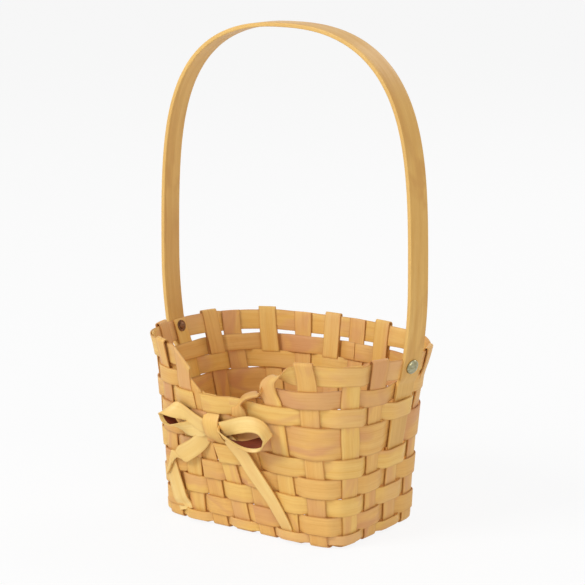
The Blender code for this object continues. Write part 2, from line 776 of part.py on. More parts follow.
def tail_points(direction, upright, shares):
    """Places of one tail from beside the knot to its tip under the lowest row."""
    middle = row_middle(KNOT_ROW)
    knot = upright_place(KNOT_UPRIGHT, middle)
    start = knot + direction * (UPRIGHT_WIDTH / 2 + EDGE_MARGIN)
    low, high = row_edges(FOOT_ROW)
    finish = upright_place(upright, high)
    points = [
        (knot + direction * UPRIGHT_WIDTH / 4, middle, TAIL_STANDOFF, THREAD_WIDTH / 2),
        (start, middle, TAIL_STANDOFF, THREAD_WIDTH / 2),
        (start + direction * THREAD_RAMP, middle - THREAD_RAMP / 2, TAIL_STANDOFF,
         THREAD_WIDTH / 2),
    ]
    for along, down in shares:
        points.append((start + (finish - start) * along, middle + (high - middle) * down,
                       TAIL_STANDOFF, RIBBON_WIDTH / 2))
    tucked = -UPRIGHT_SWING + SPLINT_STEP + CURVE_ALLOWANCE
    resting = UPRIGHT_SWING + SPLINT_STEP + CURVE_ALLOWANCE
    half = TAIL_END_WIDTH / 2
    points.append((finish, row_edges(FOOT_ROW - 1)[1], TAIL_STANDOFF, half))
    points.append((finish, row_middle(FOOT_ROW - 1), resting, half))
    points.append((finish, high + ROW_GAP, tucked, half))
    points.append((finish, (low + high) / 2, tucked, half))
    return points


def threaded(across, standoff):
    """A tail's standoff, sinking to its layer behind the upright that holds the bow."""
    knot = upright_place(KNOT_UPRIGHT, row_middle(KNOT_ROW))
    away = max(abs(across - knot) - THREAD_START, 0)
    return min(standoff, TAIL_LAYER + (TAIL_STANDOFF - TAIL_LAYER) * away / THREAD_RAMP)


def rounded(points):
    """The same route with its corners cut, so that the ribbon bends gently."""
    for _ in range(CORNER_CUTS):
        route = [points[0]]
        for first, second in zip(points, points[1:]):
            for share in (CORNER_SHARE, 1 - CORNER_SHARE):
                cut = [low + (high - low) * share for low, high in zip(first, second)]
                route.append(tuple(cut))
        points = route + [points[-1]]
    return points


def ribbon_columns(points):
    """Columns square to a route of (X, height, standoff, half width) on the front wall."""
    columns = []
    for number, (across, height, standoff, half) in enumerate(points):
        before = points[max(number - 1, 0)]
        after = points[min(number + 1, len(points) - 1)]
        heading = Vector((after[0] - before[0], after[1] - before[1])).normalized()
        column = []
        for share in (-1, 0, 1):
            place = across - heading.y * half * share
            column.append(on_side("front", place, height + heading.x * half * share,
                                  threaded(place, standoff)))
        columns.append(column)
    return columns


def add_bow_tails(collection, material):
    """One ribbon threaded behind the upright, with both ends tucked under the lowest row."""
    left = tail_points(-1, LEFT_TAIL_UPRIGHT, LEFT_TAIL_SHARES)
    right = tail_points(1, RIGHT_TAIL_UPRIGHT, RIGHT_TAIL_SHARES)
    columns = ribbon_columns(rounded(list(reversed(left)) + right))
    add_strip("bow_tails", columns, SPLINT_THICKNESS, material, collection, twisted=True)


def centre_over_ground(items):
    """Move everything together so that the basket's box is centred front to back."""
    depsgraph = bpy.context.evaluated_depsgraph_get()
    depths = []
    for item in items:
        corners = item.evaluated_get(depsgraph).bound_box
        depths += [(item.matrix_world @ Vector(corner)).y for corner in corners]
    shift = (min(depths) + max(depths)) / 2
    for item in bpy.data.objects:
        item.location.y -= shift


def build():
    clear_scene()
    collection, cutters = make_collection()
    materials = {name: make_material("splint_" + name, colour, SPLINT_ROUGHNESS)
                 for name, colour in SPLINT_COLOURS.items()}
    metal = make_material("rivet_metal", METAL_COLOUR, METAL_ROUGHNESS, metallic=1.0)
    splints = add_splints(collection, materials)
    add_weavers(collection, materials)
    handle = add_handle(collection, materials)
    drills = add_rivets(collection, cutters, metal)
    right_splint = splints[CROSS_COUNT + UPRIGHTS[RIGHT_HANDLE_UPRIGHT][1]]
    left_splint = splints[CROSS_COUNT + UPRIGHTS[LEFT_HANDLE_UPRIGHT][1]]
    rim_right = splints[UPRIGHTS[TURNED_RIGHT[1]][1]]
    rim_left = splints[UPRIGHTS[TURNED_LEFT[1]][1]]
    for side, items in (("right", (handle, right_splint, rim_right)),
                        ("left", (handle, left_splint, rim_left))):
        for item in items:
            drill_through(item, drills[side])
    add_bow_loops(collection, materials["ribbon"])
    add_bow_tails(collection, materials["ribbon"])
    centre_over_ground(collection.objects)


build()
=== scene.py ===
"""Foraging basket for its picture: woven splint, a splint bow, a bent handle and two rivets.

The frame is the solids' own: +X to the right, -Y to the front, +Z up, the ground at zero.
The uprights are numbered from 0, counter-clockwise seen from above, and 0 is the one just
right of the front notch. The rows are numbered from 1, from the rim down.
A column is a line of points across a strip. A station is a place round the wall, counted in
uprights. A standoff is a distance outwards from the wall's surface.
"""

import math

import bpy
from mathutils import Matrix, Vector


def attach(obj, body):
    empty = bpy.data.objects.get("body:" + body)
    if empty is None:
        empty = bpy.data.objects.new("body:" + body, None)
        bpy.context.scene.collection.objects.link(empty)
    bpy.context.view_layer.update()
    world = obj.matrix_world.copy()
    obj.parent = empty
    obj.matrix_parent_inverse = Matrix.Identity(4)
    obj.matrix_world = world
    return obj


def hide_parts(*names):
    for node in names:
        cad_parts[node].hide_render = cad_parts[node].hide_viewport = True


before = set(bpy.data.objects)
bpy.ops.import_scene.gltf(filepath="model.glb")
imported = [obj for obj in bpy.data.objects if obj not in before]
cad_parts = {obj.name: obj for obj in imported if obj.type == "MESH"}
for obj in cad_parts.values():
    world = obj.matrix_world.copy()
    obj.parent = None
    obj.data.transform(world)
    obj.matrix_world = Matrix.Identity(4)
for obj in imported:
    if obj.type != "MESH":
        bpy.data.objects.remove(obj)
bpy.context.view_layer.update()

MM = 0.001

# Wall: a rounded rectangle at the base that opens to an oval at the rim
WALL_HEIGHT = 139.0 * MM
RIM_HALF_LENGTH = 107.0 * MM
RIM_HALF_DEPTH = 81.0 * MM
BASE_HALF_LENGTH = 82.5 * MM
BASE_HALF_DEPTH = 55.5 * MM
RIM_SQUARENESS = 2.45
BASE_SQUARENESS = 8.0
SQUARENESS_FALL = 1.7
FLARE_STRAIGHT_SHARE = 0.35
DEPTH_CENTRE = 0.835 * MM

# Splint stock, and how strips clear each other where they cross
SPLINT_THICKNESS = 0.9 * MM
UPRIGHT_WIDTH = 14.2 * MM
CLEARANCE = 0.15 * MM
ROW_GAP = 0.1 * MM
EDGE_MARGIN = 1.0 * MM
UPRIGHT_SWING = 0.2 * MM
BEND_RADIUS = 2.5 * MM
CROWN_SHARE = 0.18

# Points across a strip, and how close its columns stand along it
ACROSS_SHARES = (-1.0, -0.5, 0.0, 0.5, 1.0)
COLUMN_STEP = 2.4 * MM
SHORTEST_SPAN = 0.05 * MM

# How far a hand-cut strip wanders from straight, and how its width changes along it
WANDER = 0.32 * MM
WIDTH_WANDER_SHARE = 0.030
WANDER_LENGTHS = (71.0 * MM, 26.0 * MM)
WANDER_SHARES = (0.7, 0.3)

# Each strip's seed shifts the waves of its edges and its place in the grain
SEED_STEP = 1.37
HANDLE_SEED = 1.0
LOOPS_SEED = 11.0
RIGHT_TAIL_SEED = 14.0
LEFT_TAIL_SEED = 17.0
WAVE_SEED_SHARE = 2.3
WIDTH_SEED_SHIFT = 5.0
GRAIN_STEP = 2.6

# Rows: the top edge of each as a share of the wall's height, rim row first, the open slot
# under the rim row, and the lower edge of the lowest row
ROW_TOP_SHARES = (1.0, 0.863, 0.767, 0.666, 0.490, 0.383, 0.275, 0.174, 0.072)
RIM_SLOT = 3.8 * MM
FOOT_ROW_BOTTOM = 2.8 * MM
ROW_COUNT = len(ROW_TOP_SHARES)
TURNED_ROWS = 2

# How much higher each row runs at the back than at the front
ROW_BACK_LIFTS = (0.0, 1.2 * MM, 1.8 * MM, 1.2 * MM, 0.6 * MM, 0.0, 0.0, 0.0, 0.0)

# Pitch of the splints on the base, and where each reaches the rim as a share of the rim's
# half length or half depth
CROSS_PITCH = 22.0 * MM
LONG_PITCH = 24.5 * MM
CROSS_COUNT = 7
LONG_COUNT = 4
FRONT_RIM_SHARES = (-0.63, -0.41, -0.36, -0.25, -0.02, 0.322, 0.598)
BACK_RIM_SHARES = (-0.87, -0.66, -0.40, -0.14, 0.07, 0.31, 0.62)
RIGHT_RIM_SHARES = (-0.60, -0.38, 0.0, 0.38)
LEFT_RIM_SHARES = (-0.60, -0.31, 0.0, 0.38)

# The cross splint that has upright 0, counted from 0 at the left
NOTCH_NUMBER = 4

# How far loose folds, by upright, and the upright left of the notch stand off the wall at the
# rim. They start at row 2, and growth 2 brings them there halfway from its lower edge
FOLD_SLACKS = {2: 0.6 * MM, 4: 1.4 * MM, 6: 3.0 * MM, 8: 0.8 * MM, 12: 0.7 * MM,
               16: 0.9 * MM, 18: 1.2 * MM}
NOTCH_SLACK = 1.1 * MM
SLACK_GROWTH = 2.0

# By upright, how far the rim row itself bulges outwards
RIM_BULGES = {6: 2.6 * MM, 7: 1.2 * MM}

# Folds
FOLD_STEPS = 12
FOLD_TAIL_ROWS = 2
RIM_FOLD_LIFT = 0.5 * MM

# Curls: the width's direction at the start and at the end, as X, height and outwards
CURL_STEPS = 14
CURL_POWER = 2.0
CURL_FACINGS = (Vector((1, 0, 0)), Vector((0, 1, 0)))

# Handle strap: an arch with a power for each way of its curve, and two tails that lie over the
# rim row and under two lower ones
TOTAL_HEIGHT = 375.0 * MM
HANDLE_SPREAD = 4.2 * MM
HANDLE_WIDTH = 19.0 * MM
HANDLE_THICKNESS = 3.2 * MM
HANDLE_TIP_THICKNESS = 1.5 * MM
HANDLE_SIDE_POWER = 2.4
HANDLE_TOP_POWER = 4.8
HANDLE_BLEND = 52.0 * MM
HANDLE_ARCH_STEPS = 48
HANDLE_OVER_ROW = 1
HANDLE_UNDER_ROWS = (3, 5)
HANDLE_TIP_SHARE = 0.3
HANDLE_ROUNDING = 0.9 * MM
HANDLE_EDGE_SEGMENTS = 4
HANDLE_TURN = math.radians(9)
ARCH_SEARCH_STEPS = 40

# Rivet and washer
RIVET_LIFT = 2.0 * MM
RIVET_HEAD_RADIUS = 5.6 * MM
RIVET_HEAD_HEIGHT = 3.2 * MM
RIVET_BRIM_HEIGHT = 0.5 * MM
RIVET_CLINCH_RADIUS = 2.6 * MM
RIVET_CLINCH_HEIGHT = 1.1 * MM
WASHER_RADIUS = 4.5 * MM
WASHER_THICKNESS = 0.8 * MM
WASHER_INSET = 1.3 * MM
WASHER_DISH = 0.25 * MM
ROUND_SEGMENTS = 48
ROUND_RINGS = 24
SMALL_ROUNDING = 0.2 * MM

# A face looks down where its normal's Z is below this
LOOKS_DOWN = -0.9

# Bow ribbon where it is threaded behind its upright, one layer over the other
THREAD_WIDTH = 10.5 * MM
THREAD_SHIFT = 0.6 * MM
THREAD_START = 3.0 * MM
THREAD_RAMP = 8.0 * MM
LAYER_STEP = 1.1 * MM

# How far the bow pulls its upright outwards and aside, fading over so many half row heights
KNOT_SLACK = 1.6 * MM
KNOT_SWAY = -3.4 * MM
KNOT_SWAY_REACH = 2.0

# Loops: of the upper and the lower strand of each, how far it bows out, how far along it
# starts to turn on edge, how soon it gets there, and how far it turns past that
LOOP_STEPS = 28
LOOP_WIDTH = 12.4 * MM
OVERTURN_POWER = 3
RIGHT_LOOP = {"reach": 52.0 * MM, "rise": 5.0 * MM, "openings": (10.0 * MM, 6.0 * MM),
              "flat_shares": (0.30, 0.04), "powers": (1.2, 0.45), "overturns": (0.0, 0.6)}
LEFT_LOOP = {"reach": 36.0 * MM, "rise": 7.0 * MM, "openings": (6.8 * MM, 6.0 * MM),
             "flat_shares": (0.62, 0.50), "powers": (1.1, 1.0), "overturns": (0.0, 0.2)}

# The greatest value of the teardrop curve that the loops' openings are drawn with
TEARDROP_PEAK = 1.5 * math.sqrt(3) / 4

# Material slot that marks the pale lip of the loops' inner face while the strip is made; the lip
# keeps the ribbon's own colour where the inner face's painted shade stops
PALE_LIP_SLOT = 2

# Tails
TAIL_LIFT = 0.5 * MM
TAIL_END_WIDTH = 9.0 * MM
TAIL_ROOT_SHARES = (0.8, 0.9)
TAIL_ROOT_DROP_SHARE = 0.25
CORNER_CUTS = 3
CORNER_SHARE = 0.25

# Uprights and rows that other parts meet
RIGHT_HANDLE_UPRIGHT = 5
LEFT_HANDLE_UPRIGHT = 15
KNOT_UPRIGHT = 21
KNOT_ROW = 4
FOOT_ROW = ROW_COUNT
RIGHT_TAIL_UPRIGHT = 1
LEFT_TAIL_UPRIGHT = 19

# By top row: the uprights that turn into it on both sides of the notch, and the one at the
# back that hides where they meet
TURNED_RIGHT = {2: 0, 1: 1}
TURNED_LEFT = {2: 20, 1: 19}
JOINT_UPRIGHT = {1: 10, 2: 9}
JOINT_GAP = 0.6 * MM

# Plan angle of the front's middle, and the small steps that slopes are measured over
START_ANGLE = -math.pi / 2
SURFACE_STEP = 0.05 * MM
ANGLE_STEP = 0.0005

# How meshes are closed, rounded and shaded
MERGE_DISTANCE = 0.02 * MM
EDGE_ROUNDING = 0.22 * MM
EDGE_SEGMENTS = 2
EDGE_ANGLE = math.radians(50)
SMOOTH_ANGLE = math.radians(35)


# The wall as a surface

def plan_sizes(height):
    """Half length, half depth and squareness of the wall's plan at a height."""
    rise = height / WALL_HEIGHT
    flare = FLARE_STRAIGHT_SHARE * rise + (1 - FLARE_STRAIGHT_SHARE) * rise * rise
    half_length = BASE_HALF_LENGTH + (RIM_HALF_LENGTH - BASE_HALF_LENGTH) * flare
    half_depth = BASE_HALF_DEPTH + (RIM_HALF_DEPTH - BASE_HALF_DEPTH) * flare
    left = (1 - min(max(rise, 0), 1)) ** SQUARENESS_FALL
    squareness = RIM_SQUARENESS + (BASE_SQUARENESS - RIM_SQUARENESS) * left
    return half_length, half_depth, squareness


def wall_point(angle, height):
    """Point of the wall's surface at a plan angle and a height."""
    half_length, half_depth, power = plan_sizes(height)
    across = abs(math.cos(angle) / half_length) ** power
    deep = abs(math.sin(angle) / half_depth) ** power
    reach = (across + deep) ** (-1 / power)
    return Vector((reach * math.cos(angle), reach * math.sin(angle), height))


def wall_normal(angle, height):
    """Outward direction of the wall at a plan angle and a height."""
    around = wall_point(angle + ANGLE_STEP, height) - wall_point(angle - ANGLE_STEP, height)
    upwards = wall_point(angle, height + SURFACE_STEP) - wall_point(angle, height - SURFACE_STEP)
    return around.cross(upwards).normalized()


def on_wall(angle, height, standoff):
    return wall_point(angle, height) + wall_normal(angle, height) * standoff


def side_angle(side, coordinate, height):
    """Plan angle of the wall point on one side with this X (front, back) or Y (right, left)."""
    half_length, half_depth, power = plan_sizes(height)
    if side in ("front", "back"):
        share = min(abs(coordinate) / half_length, 1.0)
        depth = half_depth * (1 - share ** power) ** (1 / power)
        return math.atan2(-depth if side == "front" else depth, coordinate)
    share = min(abs(coordinate) / half_depth, 1.0)
    length = half_length * (1 - share ** power) ** (1 / power)
    return math.atan2(coordinate, length if side == "right" else -length)


def on_side(side, coordinate, height, standoff):
    return on_wall(side_angle(side, coordinate, height), height, standoff)


# The uprights: where each splint's two ends climb the wall

def base_places(count, pitch):
    """Centre lines of one set of splints on the base."""
    return [(number - (count - 1) / 2) * pitch for number in range(count)]


CROSS_PLACES = base_places(CROSS_COUNT, CROSS_PITCH)
LONG_PLACES = base_places(LONG_COUNT, LONG_PITCH)
RIM_SHARES = {
    "front": FRONT_RIM_SHARES,
    "back": BACK_RIM_SHARES,
    "right": RIGHT_RIM_SHARES,
    "left": LEFT_RIM_SHARES,
}
UPRIGHTS = (
    [("front", number) for number in range(NOTCH_NUMBER, CROSS_COUNT)]
    + [("right", number) for number in range(LONG_COUNT)]
    + [("back", number) for number in reversed(range(CROSS_COUNT))]
    + [("left", number) for number in reversed(range(LONG_COUNT))]
    + [("front", number) for number in range(NOTCH_NUMBER)]
)
UPRIGHT_COUNT = len(UPRIGHTS)


def knot_sway(height):
    """How far the tied bow pulls its upright aside at a height."""
    low, high = row_edges(KNOT_ROW)
    share = (height - low) / (high - low)
    return KNOT_SWAY * max(1 - ((2 * share - 1) / KNOT_SWAY_REACH) ** 2, 0)


def upright_place(upright, height):
    """X or Y of an upright's centre line at a height."""
    side, number = UPRIGHTS[upright % UPRIGHT_COUNT]
    if side in ("front", "back"):
        base, rim_half = CROSS_PLACES[number], RIM_HALF_LENGTH
    else:
        base, rim_half = LONG_PLACES[number], RIM_HALF_DEPTH
    rim = RIM_SHARES[side][number] * rim_half
    place = base + (rim - base) * height / WALL_HEIGHT
    if upright % UPRIGHT_COUNT == KNOT_UPRIGHT:
        place += knot_sway(height)
    return place


def upright_angle(upright, height):
    """Plan angle of an upright, growing all the way round with the upright's number."""
    turns, number = divmod(upright, UPRIGHT_COUNT)
    side = UPRIGHTS[number][0]
    angle = side_angle(side, upright_place(number, height), height)
    return (angle - START_ANGLE) % math.tau + START_ANGLE + turns * math.tau


def ring_angle(station, height):
    """Plan angle of a station, which may lie between two uprights."""
    before = math.floor(station)
    low = upright_angle(before, height)
    high = upright_angle(before + 1, height)
    return low + (high - low) * (station - before)


def half_width_share(upright, direction, half_width, height):
    """A half width as a share of the pitch to the next upright on one side."""
    here = wall_point(upright_angle(upright, height), height)
    there = wall_point(upright_angle(upright + direction, height), height)
    return half_width / (there - here).length


def row_edges(row):
    """Heights of a row's lower and upper edge."""
    top = ROW_TOP_SHARES[row - 1] * WALL_HEIGHT
    if row == FOOT_ROW:
        return FOOT_ROW_BOTTOM, top
    gap = RIM_SLOT if row == 1 else ROW_GAP
    return ROW_TOP_SHARES[row] * WALL_HEIGHT + gap, top


def row_middle(row):
    low, high = row_edges(row)
    return (low + high) / 2


def upright_is_outside(upright, row):
    """Whether an upright passes outside a row, as every second one does."""
    return (upright + row) % 2 == 1


def upright_standoff(upright, height):
    """Standoff of an upright's middle, swinging out and in from row to row."""
    middles = [row_middle(row) for row in range(1, ROW_COUNT + 1)]
    swings = [UPRIGHT_SWING if upright_is_outside(upright, row) else -UPRIGHT_SWING
              for row in range(1, ROW_COUNT + 1)]
    if height >= middles[0]:
        return swings[0]
    for row in range(1, ROW_COUNT):
        if height >= middles[row]:
            share = (height - middles[row]) / (middles[row - 1] - middles[row])
            return swings[row] + (swings[row - 1] - swings[row]) * share
    return swings[-1] * max(height, 0) / middles[-1]


# Handle strap along the wall

WEAVER_SWING = SPLINT_THICKNESS + CLEARANCE + UPRIGHT_SWING
HANDLE_TIP_HEIGHT = (row_edges(HANDLE_UNDER_ROWS[-1])[0]
                     + HANDLE_TIP_SHARE * UPRIGHT_WIDTH)
RIVET_HEIGHT = row_middle(HANDLE_OVER_ROW) + RIVET_LIFT


def handle_thickness(height):
    """The strap's thickness, which thins from the rivet down to its tip."""
    share = (height - HANDLE_TIP_HEIGHT) / (RIVET_HEIGHT - HANDLE_TIP_HEIGHT)
    share = min(max(share, 0), 1)
    return HANDLE_TIP_THICKNESS + (HANDLE_THICKNESS - HANDLE_TIP_THICKNESS) * share


def handle_standoff(upright, height):
    """The strap lies on the upright, and over the rim row where that row is outside."""
    seat = upright_standoff(upright, height)
    if height >= row_edges(HANDLE_OVER_ROW)[0] - ROW_GAP:
        seat = WEAVER_SWING
    return seat + SPLINT_THICKNESS / 2 + CLEARANCE + handle_thickness(height) / 2


def crossing_standoff(upright, row):
    """Standoff of a row where it passes an upright, in or out."""
    number = upright % UPRIGHT_COUNT
    bulge = RIM_BULGES.get(number, 0) if row == 1 else 0
    if upright_is_outside(number, row):
        return bulge - WEAVER_SWING
    over_handle = number in (RIGHT_HANDLE_UPRIGHT, LEFT_HANDLE_UPRIGHT)
    if over_handle and row in HANDLE_UNDER_ROWS:
        height = row_edges(row)[1]
        strap_face = handle_standoff(number, height) + handle_thickness(height) / 2
        return strap_face + CLEARANCE + SPLINT_THICKNESS / 2
    if number in (RIGHT_TAIL_UPRIGHT, LEFT_TAIL_UPRIGHT) and row == FOOT_ROW:
        return WEAVER_SWING + LAYER_STEP
    return WEAVER_SWING + bulge


def crossing_half_width(upright):
    """How far to each side of an upright a row keeps its standoff."""
    number = upright % UPRIGHT_COUNT
    if number in (RIGHT_HANDLE_UPRIGHT, LEFT_HANDLE_UPRIGHT):
        return HANDLE_WIDTH / 2 + EDGE_MARGIN
    return UPRIGHT_WIDTH / 2 + EDGE_MARGIN / 2


def row_stations(row, first, last):
    """Stations round the wall and their standoffs from one upright to another."""
    height = row_middle(row)
    stations = []
    for upright in range(first, last + 1):
        standoff = crossing_standoff(upright, row)
        before = half_width_share(upright, -1, crossing_half_width(upright), height)
        after = half_width_share(upright, 1, crossing_half_width(upright), height)
        crown = standoff * (1 + CROWN_SHARE)
        stations.append((upright - before, standoff))
        stations.append((upright, crown))
        stations.append((upright + after, standoff))
    return stations


def row_column(row, station, standoff, flip=1):
    """Points across a row at a station, from its lower edge up, or down where flip is -1."""
    low, high = row_edges(row)
    lift = ROW_BACK_LIFTS[row - 1] * max(math.sin(ring_angle(station, low)), 0)
    middle, half = (low + high) / 2 + lift, (high - low) / 2
    heights = [middle + half * share * flip for share in ACROSS_SHARES]
    return [on_wall(ring_angle(station, height), height, standoff) for height in heights]


# Strips

def smoothed(columns, closed=False):
    """More columns along the same route, on smooth curves through the given ones."""
    count = len(columns)
    centres = [column[len(column) // 2] for column in columns]
    spans = count if closed else count - 1
    lengths = [max((centres[(n + 1) % count] - centres[n]).length, SHORTEST_SPAN)
               for n in range(spans)]
    slopes = []
    for n, column in enumerate(columns):
        steps = []
        if closed or n > 0:
            steps.append((n - 1) % count)
        if closed or n < count - 1:
            steps.append(n)
        rates = [[(after - before) / lengths[m]
                  for before, after in zip(columns[m], columns[(m + 1) % count])]
                 for m in steps]
        if len(rates) == 1:
            slopes.append(rates[0])
            continue
        first, second = lengths[steps[0]], lengths[steps[1]]
        slopes.append([(low * second + high * first) / (first + second)
                       for low, high in zip(*rates)])
    result = []
    for n in range(spans):
        after = (n + 1) % count
        pieces = max(round(lengths[n] / COLUMN_STEP), 1)
        for piece in range(pieces):
            t = piece / pieces
            start = 2 * t ** 3 - 3 * t ** 2 + 1
            leave = (t ** 3 - 2 * t ** 2 + t) * lengths[n]
            arrive = (t ** 3 - t ** 2) * lengths[n]
            result.append([
                p * start + q * (1 - start) + m * leave + k * arrive
                for p, q, m, k in zip(columns[n], columns[after], slopes[n], slopes[after])
            ])
    if not closed:
        result.append(columns[-1])
    return result


def wander(distance, seed):
    """A slow wave between -1 and 1 along a strip, its own for each seed."""
    return sum(share * math.sin(math.tau * distance / length + seed * (number + WAVE_SEED_SHARE))
               for number, (length, share) in enumerate(zip(WANDER_LENGTHS, WANDER_SHARES)))


def hand_cut(columns, seed, closed):
    """The same strip with the small waves in its edges that a hand-cut one has."""
    distance = 0
    before = None
    total = sum((a[2] - b[2]).length for a, b in zip(columns, columns[1:]))
    result = []
    for column in columns:
        centre = column[len(column) // 2]
        if before is not None:
            distance += (centre - before).length
        before = centre
        fade = 1
        if closed:
            fade = min(min(distance, total - distance) / WANDER_LENGTHS[1], 1)
        across = (column[-1] - column[0]).normalized()
        slide = across * WANDER * wander(distance, seed) * fade
        stretch = 1 + WIDTH_WANDER_SHARE * wander(distance, seed + WIDTH_SEED_SHIFT) * fade
        result.append([centre + (point - centre) * stretch + slide for point in column])
    return result


def paint_grain(mesh, columns, places, sizes, seed):
    """Two UV maps: real lengths along and across for the grain, and shares for the edges."""
    lengths, widths = sizes
    distances = [0]
    for number in range(lengths):
        here = columns[number][widths // 2]
        there = columns[(number + 1) % len(columns)][widths // 2]
        distances.append(distances[-1] + (there - here).length)
    grain = mesh.uv_layers.active
    grain.name = "Grain"
    edge = mesh.uv_layers.new(name="Edge")
    half = (columns[0][-1] - columns[0][0]).length / 2
    for loop in mesh.loops:
        along, across = places[loop.vertex_index]
        share = 2 * across / widths - 1
        grain.data[loop.index].uv = (distances[along] + seed * GRAIN_STEP,
                                     share * half + seed * GRAIN_STEP)
        edge.data[loop.index].uv = (share, along / lengths)


def round_edges(piece, width, segments=EDGE_SEGMENTS):
    """The active piece's sharp edges worn round."""
    bevel = piece.modifiers.new("Rounded edges", "BEVEL")
    bevel.width = width
    bevel.segments = segments
    bevel.limit_method = "ANGLE"
    bevel.angle_limit = EDGE_ANGLE
    bpy.ops.object.modifier_apply(modifier="Rounded edges")


def lay_strip(name, columns, finish, nodes, seed, thickness=SPLINT_THICKNESS,
              closed=False, twisted=False, weights=None, rounding=EDGE_ROUNDING,
              segments=EDGE_SEGMENTS, back=None):
    """A flat grid laid along its columns of points, thickened, rounded and finished.

    Weights thin the strip column by column. Back is a second finish for its inner face.
    """
    lengths = len(columns) if closed else len(columns) - 1
    widths = len(columns[0]) - 1
    bpy.ops.object.select_all(action="DESELECT")
    bpy.ops.mesh.primitive_grid_add(x_subdivisions=lengths, y_subdivisions=widths, size=1)
    strip = bpy.context.object
    strip.name = name
    mesh = strip.data
    mesh.name = name
    places = []
    for vertex in mesh.vertices:
        along = round((vertex.co.x + 0.5) * lengths)
        across = round((vertex.co.y + 0.5) * widths)
        places.append((along, across))
        vertex.co = columns[along % len(columns)][across] + Vector((0, DEPTH_CENTRE, 0))
        vertex.co.z = max(vertex.co.z, BASE_LOW)
    if back:
        for polygon in mesh.polygons:
            if max(places[vertex][1] for vertex in polygon.vertices) == 1:
                polygon.material_index = PALE_LIP_SLOT
    paint_grain(mesh, columns, places, (lengths, widths), seed)
    if weights:
        group = strip.vertex_groups.new(name="Thickness")
        for vertex, (along, across) in zip(mesh.vertices, places):
            group.add([vertex.index], weights[along], "REPLACE")
    if closed:
        bpy.ops.object.mode_set(mode="EDIT")
        bpy.ops.mesh.select_all(action="SELECT")
        bpy.ops.mesh.remove_doubles(threshold=MERGE_DISTANCE)
        bpy.ops.object.mode_set(mode="OBJECT")
    # Thickening adds 1 to the slots of the inner side, so a lip face's 2 becomes 3, pale again
    for skin in (finish, back, finish, finish) if back else (finish,):
        mesh.materials.append(skin)
    solid = strip.modifiers.new("Thickness", "SOLIDIFY")
    solid.thickness = thickness
    solid.offset = 0
    solid.use_even_offset = not twisted
    solid.use_quality_normals = True
    solid.material_offset = 1 if back else 0
    if weights:
        solid.vertex_group = "Thickness"
    bpy.ops.object.modifier_apply(modifier="Thickness")
    round_edges(strip, rounding, segments)
    if back:
        for polygon in mesh.polygons:
            if polygon.material_index >= PALE_LIP_SLOT:
                polygon.material_index = 0
        while len(mesh.materials) > PALE_LIP_SLOT:
            mesh.materials.pop()
    finish_piece(strip, finish, nodes)


def finish_piece(piece, finish, nodes):
    """Smooth shading, its material, and its place in the model."""
    bpy.ops.object.select_all(action="DESELECT")
    piece.select_set(True)
    bpy.context.view_layer.objects.active = piece
    bpy.ops.object.shade_smooth_by_angle(angle=SMOOTH_ANGLE)
    if not piece.data.materials:
        piece.data.materials.append(finish)
    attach(piece, "root")
    if nodes:
        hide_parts(*nodes)


def upright_column(upright, height, standoff):
    """Points across an upright at a height."""
    side = UPRIGHTS[upright][0]
    place = upright_place(upright, height)
    here = on_side(side, place, height, 0)
    near = on_side(side, place + SURFACE_STEP, height, 0)
    half = UPRIGHT_WIDTH / 2 * SURFACE_STEP / (near - here).length
    return [on_side(side, place + half * share, height, standoff) for share in ACROSS_SHARES]


# Standoffs of the bow's layers behind the upright that holds it, of that upright, and of the
# bow where it lies on the rows

TAIL_LAYER = -WEAVER_SWING + LAYER_STEP
LOWER_LAYER = TAIL_LAYER + LAYER_STEP
UPPER_LAYER = LOWER_LAYER + LAYER_STEP
KNOT_STANDOFF = UPPER_LAYER + LAYER_STEP + KNOT_SLACK
THREAD_HALF_HEIGHT = THREAD_WIDTH / 2 + THREAD_SHIFT
TAIL_STANDOFF = WEAVER_SWING + LAYER_STEP + TAIL_LIFT


def climb_columns(upright, top):
    """Columns up the wall from just above the base bend to a height."""
    places = []
    for row in range(ROW_COUNT, 0, -1):
        middle = row_middle(row)
        if (upright, row) == (KNOT_UPRIGHT, KNOT_ROW):
            low, high = row_edges(row)
            places += [(low, UPRIGHT_SWING), (middle - THREAD_HALF_HEIGHT, KNOT_STANDOFF),
                       (middle + THREAD_HALF_HEIGHT, KNOT_STANDOFF), (high, -UPRIGHT_SWING)]
        elif middle < top:
            places.append((middle, upright_standoff(upright, middle)))
    places.append((top, upright_standoff(upright, top)))
    slack = FOLD_SLACKS.get(upright, 0)
    if upright == TURNED_LEFT[1]:
        slack = NOTCH_SLACK
    start = row_edges(2)[0]
    columns = []
    for height, standoff in places:
        share = min(max((height - start) / (WALL_HEIGHT - start), 0) * SLACK_GROWTH, 1)
        columns.append(upright_column(upright, height, standoff + slack * share))
    return columns


def rim_fold_columns(upright):
    """The end of an upright that is folded over the rim row and runs down inside."""
    outer = UPRIGHT_SWING + FOLD_SLACKS.get(upright, 0)
    inner = RIM_BULGES.get(upright, 0) - WEAVER_SWING - SPLINT_THICKNESS - CLEARANCE
    radius = (outer - inner) / 2
    columns = []
    for step in range(1, FOLD_STEPS + 1):
        turn = math.pi * step / FOLD_STEPS
        height = WALL_HEIGHT + RIM_FOLD_LIFT + radius * math.sin(turn)
        standoff = (outer + inner) / 2 + radius * math.cos(turn)
        columns.append(upright_column(upright, height, standoff))
    for row in range(1, FOLD_TAIL_ROWS + 1):
        columns.append(upright_column(upright, row_middle(row), inner))
        columns.append(upright_column(upright, row_edges(row)[0] + ROW_GAP, inner))
    return columns


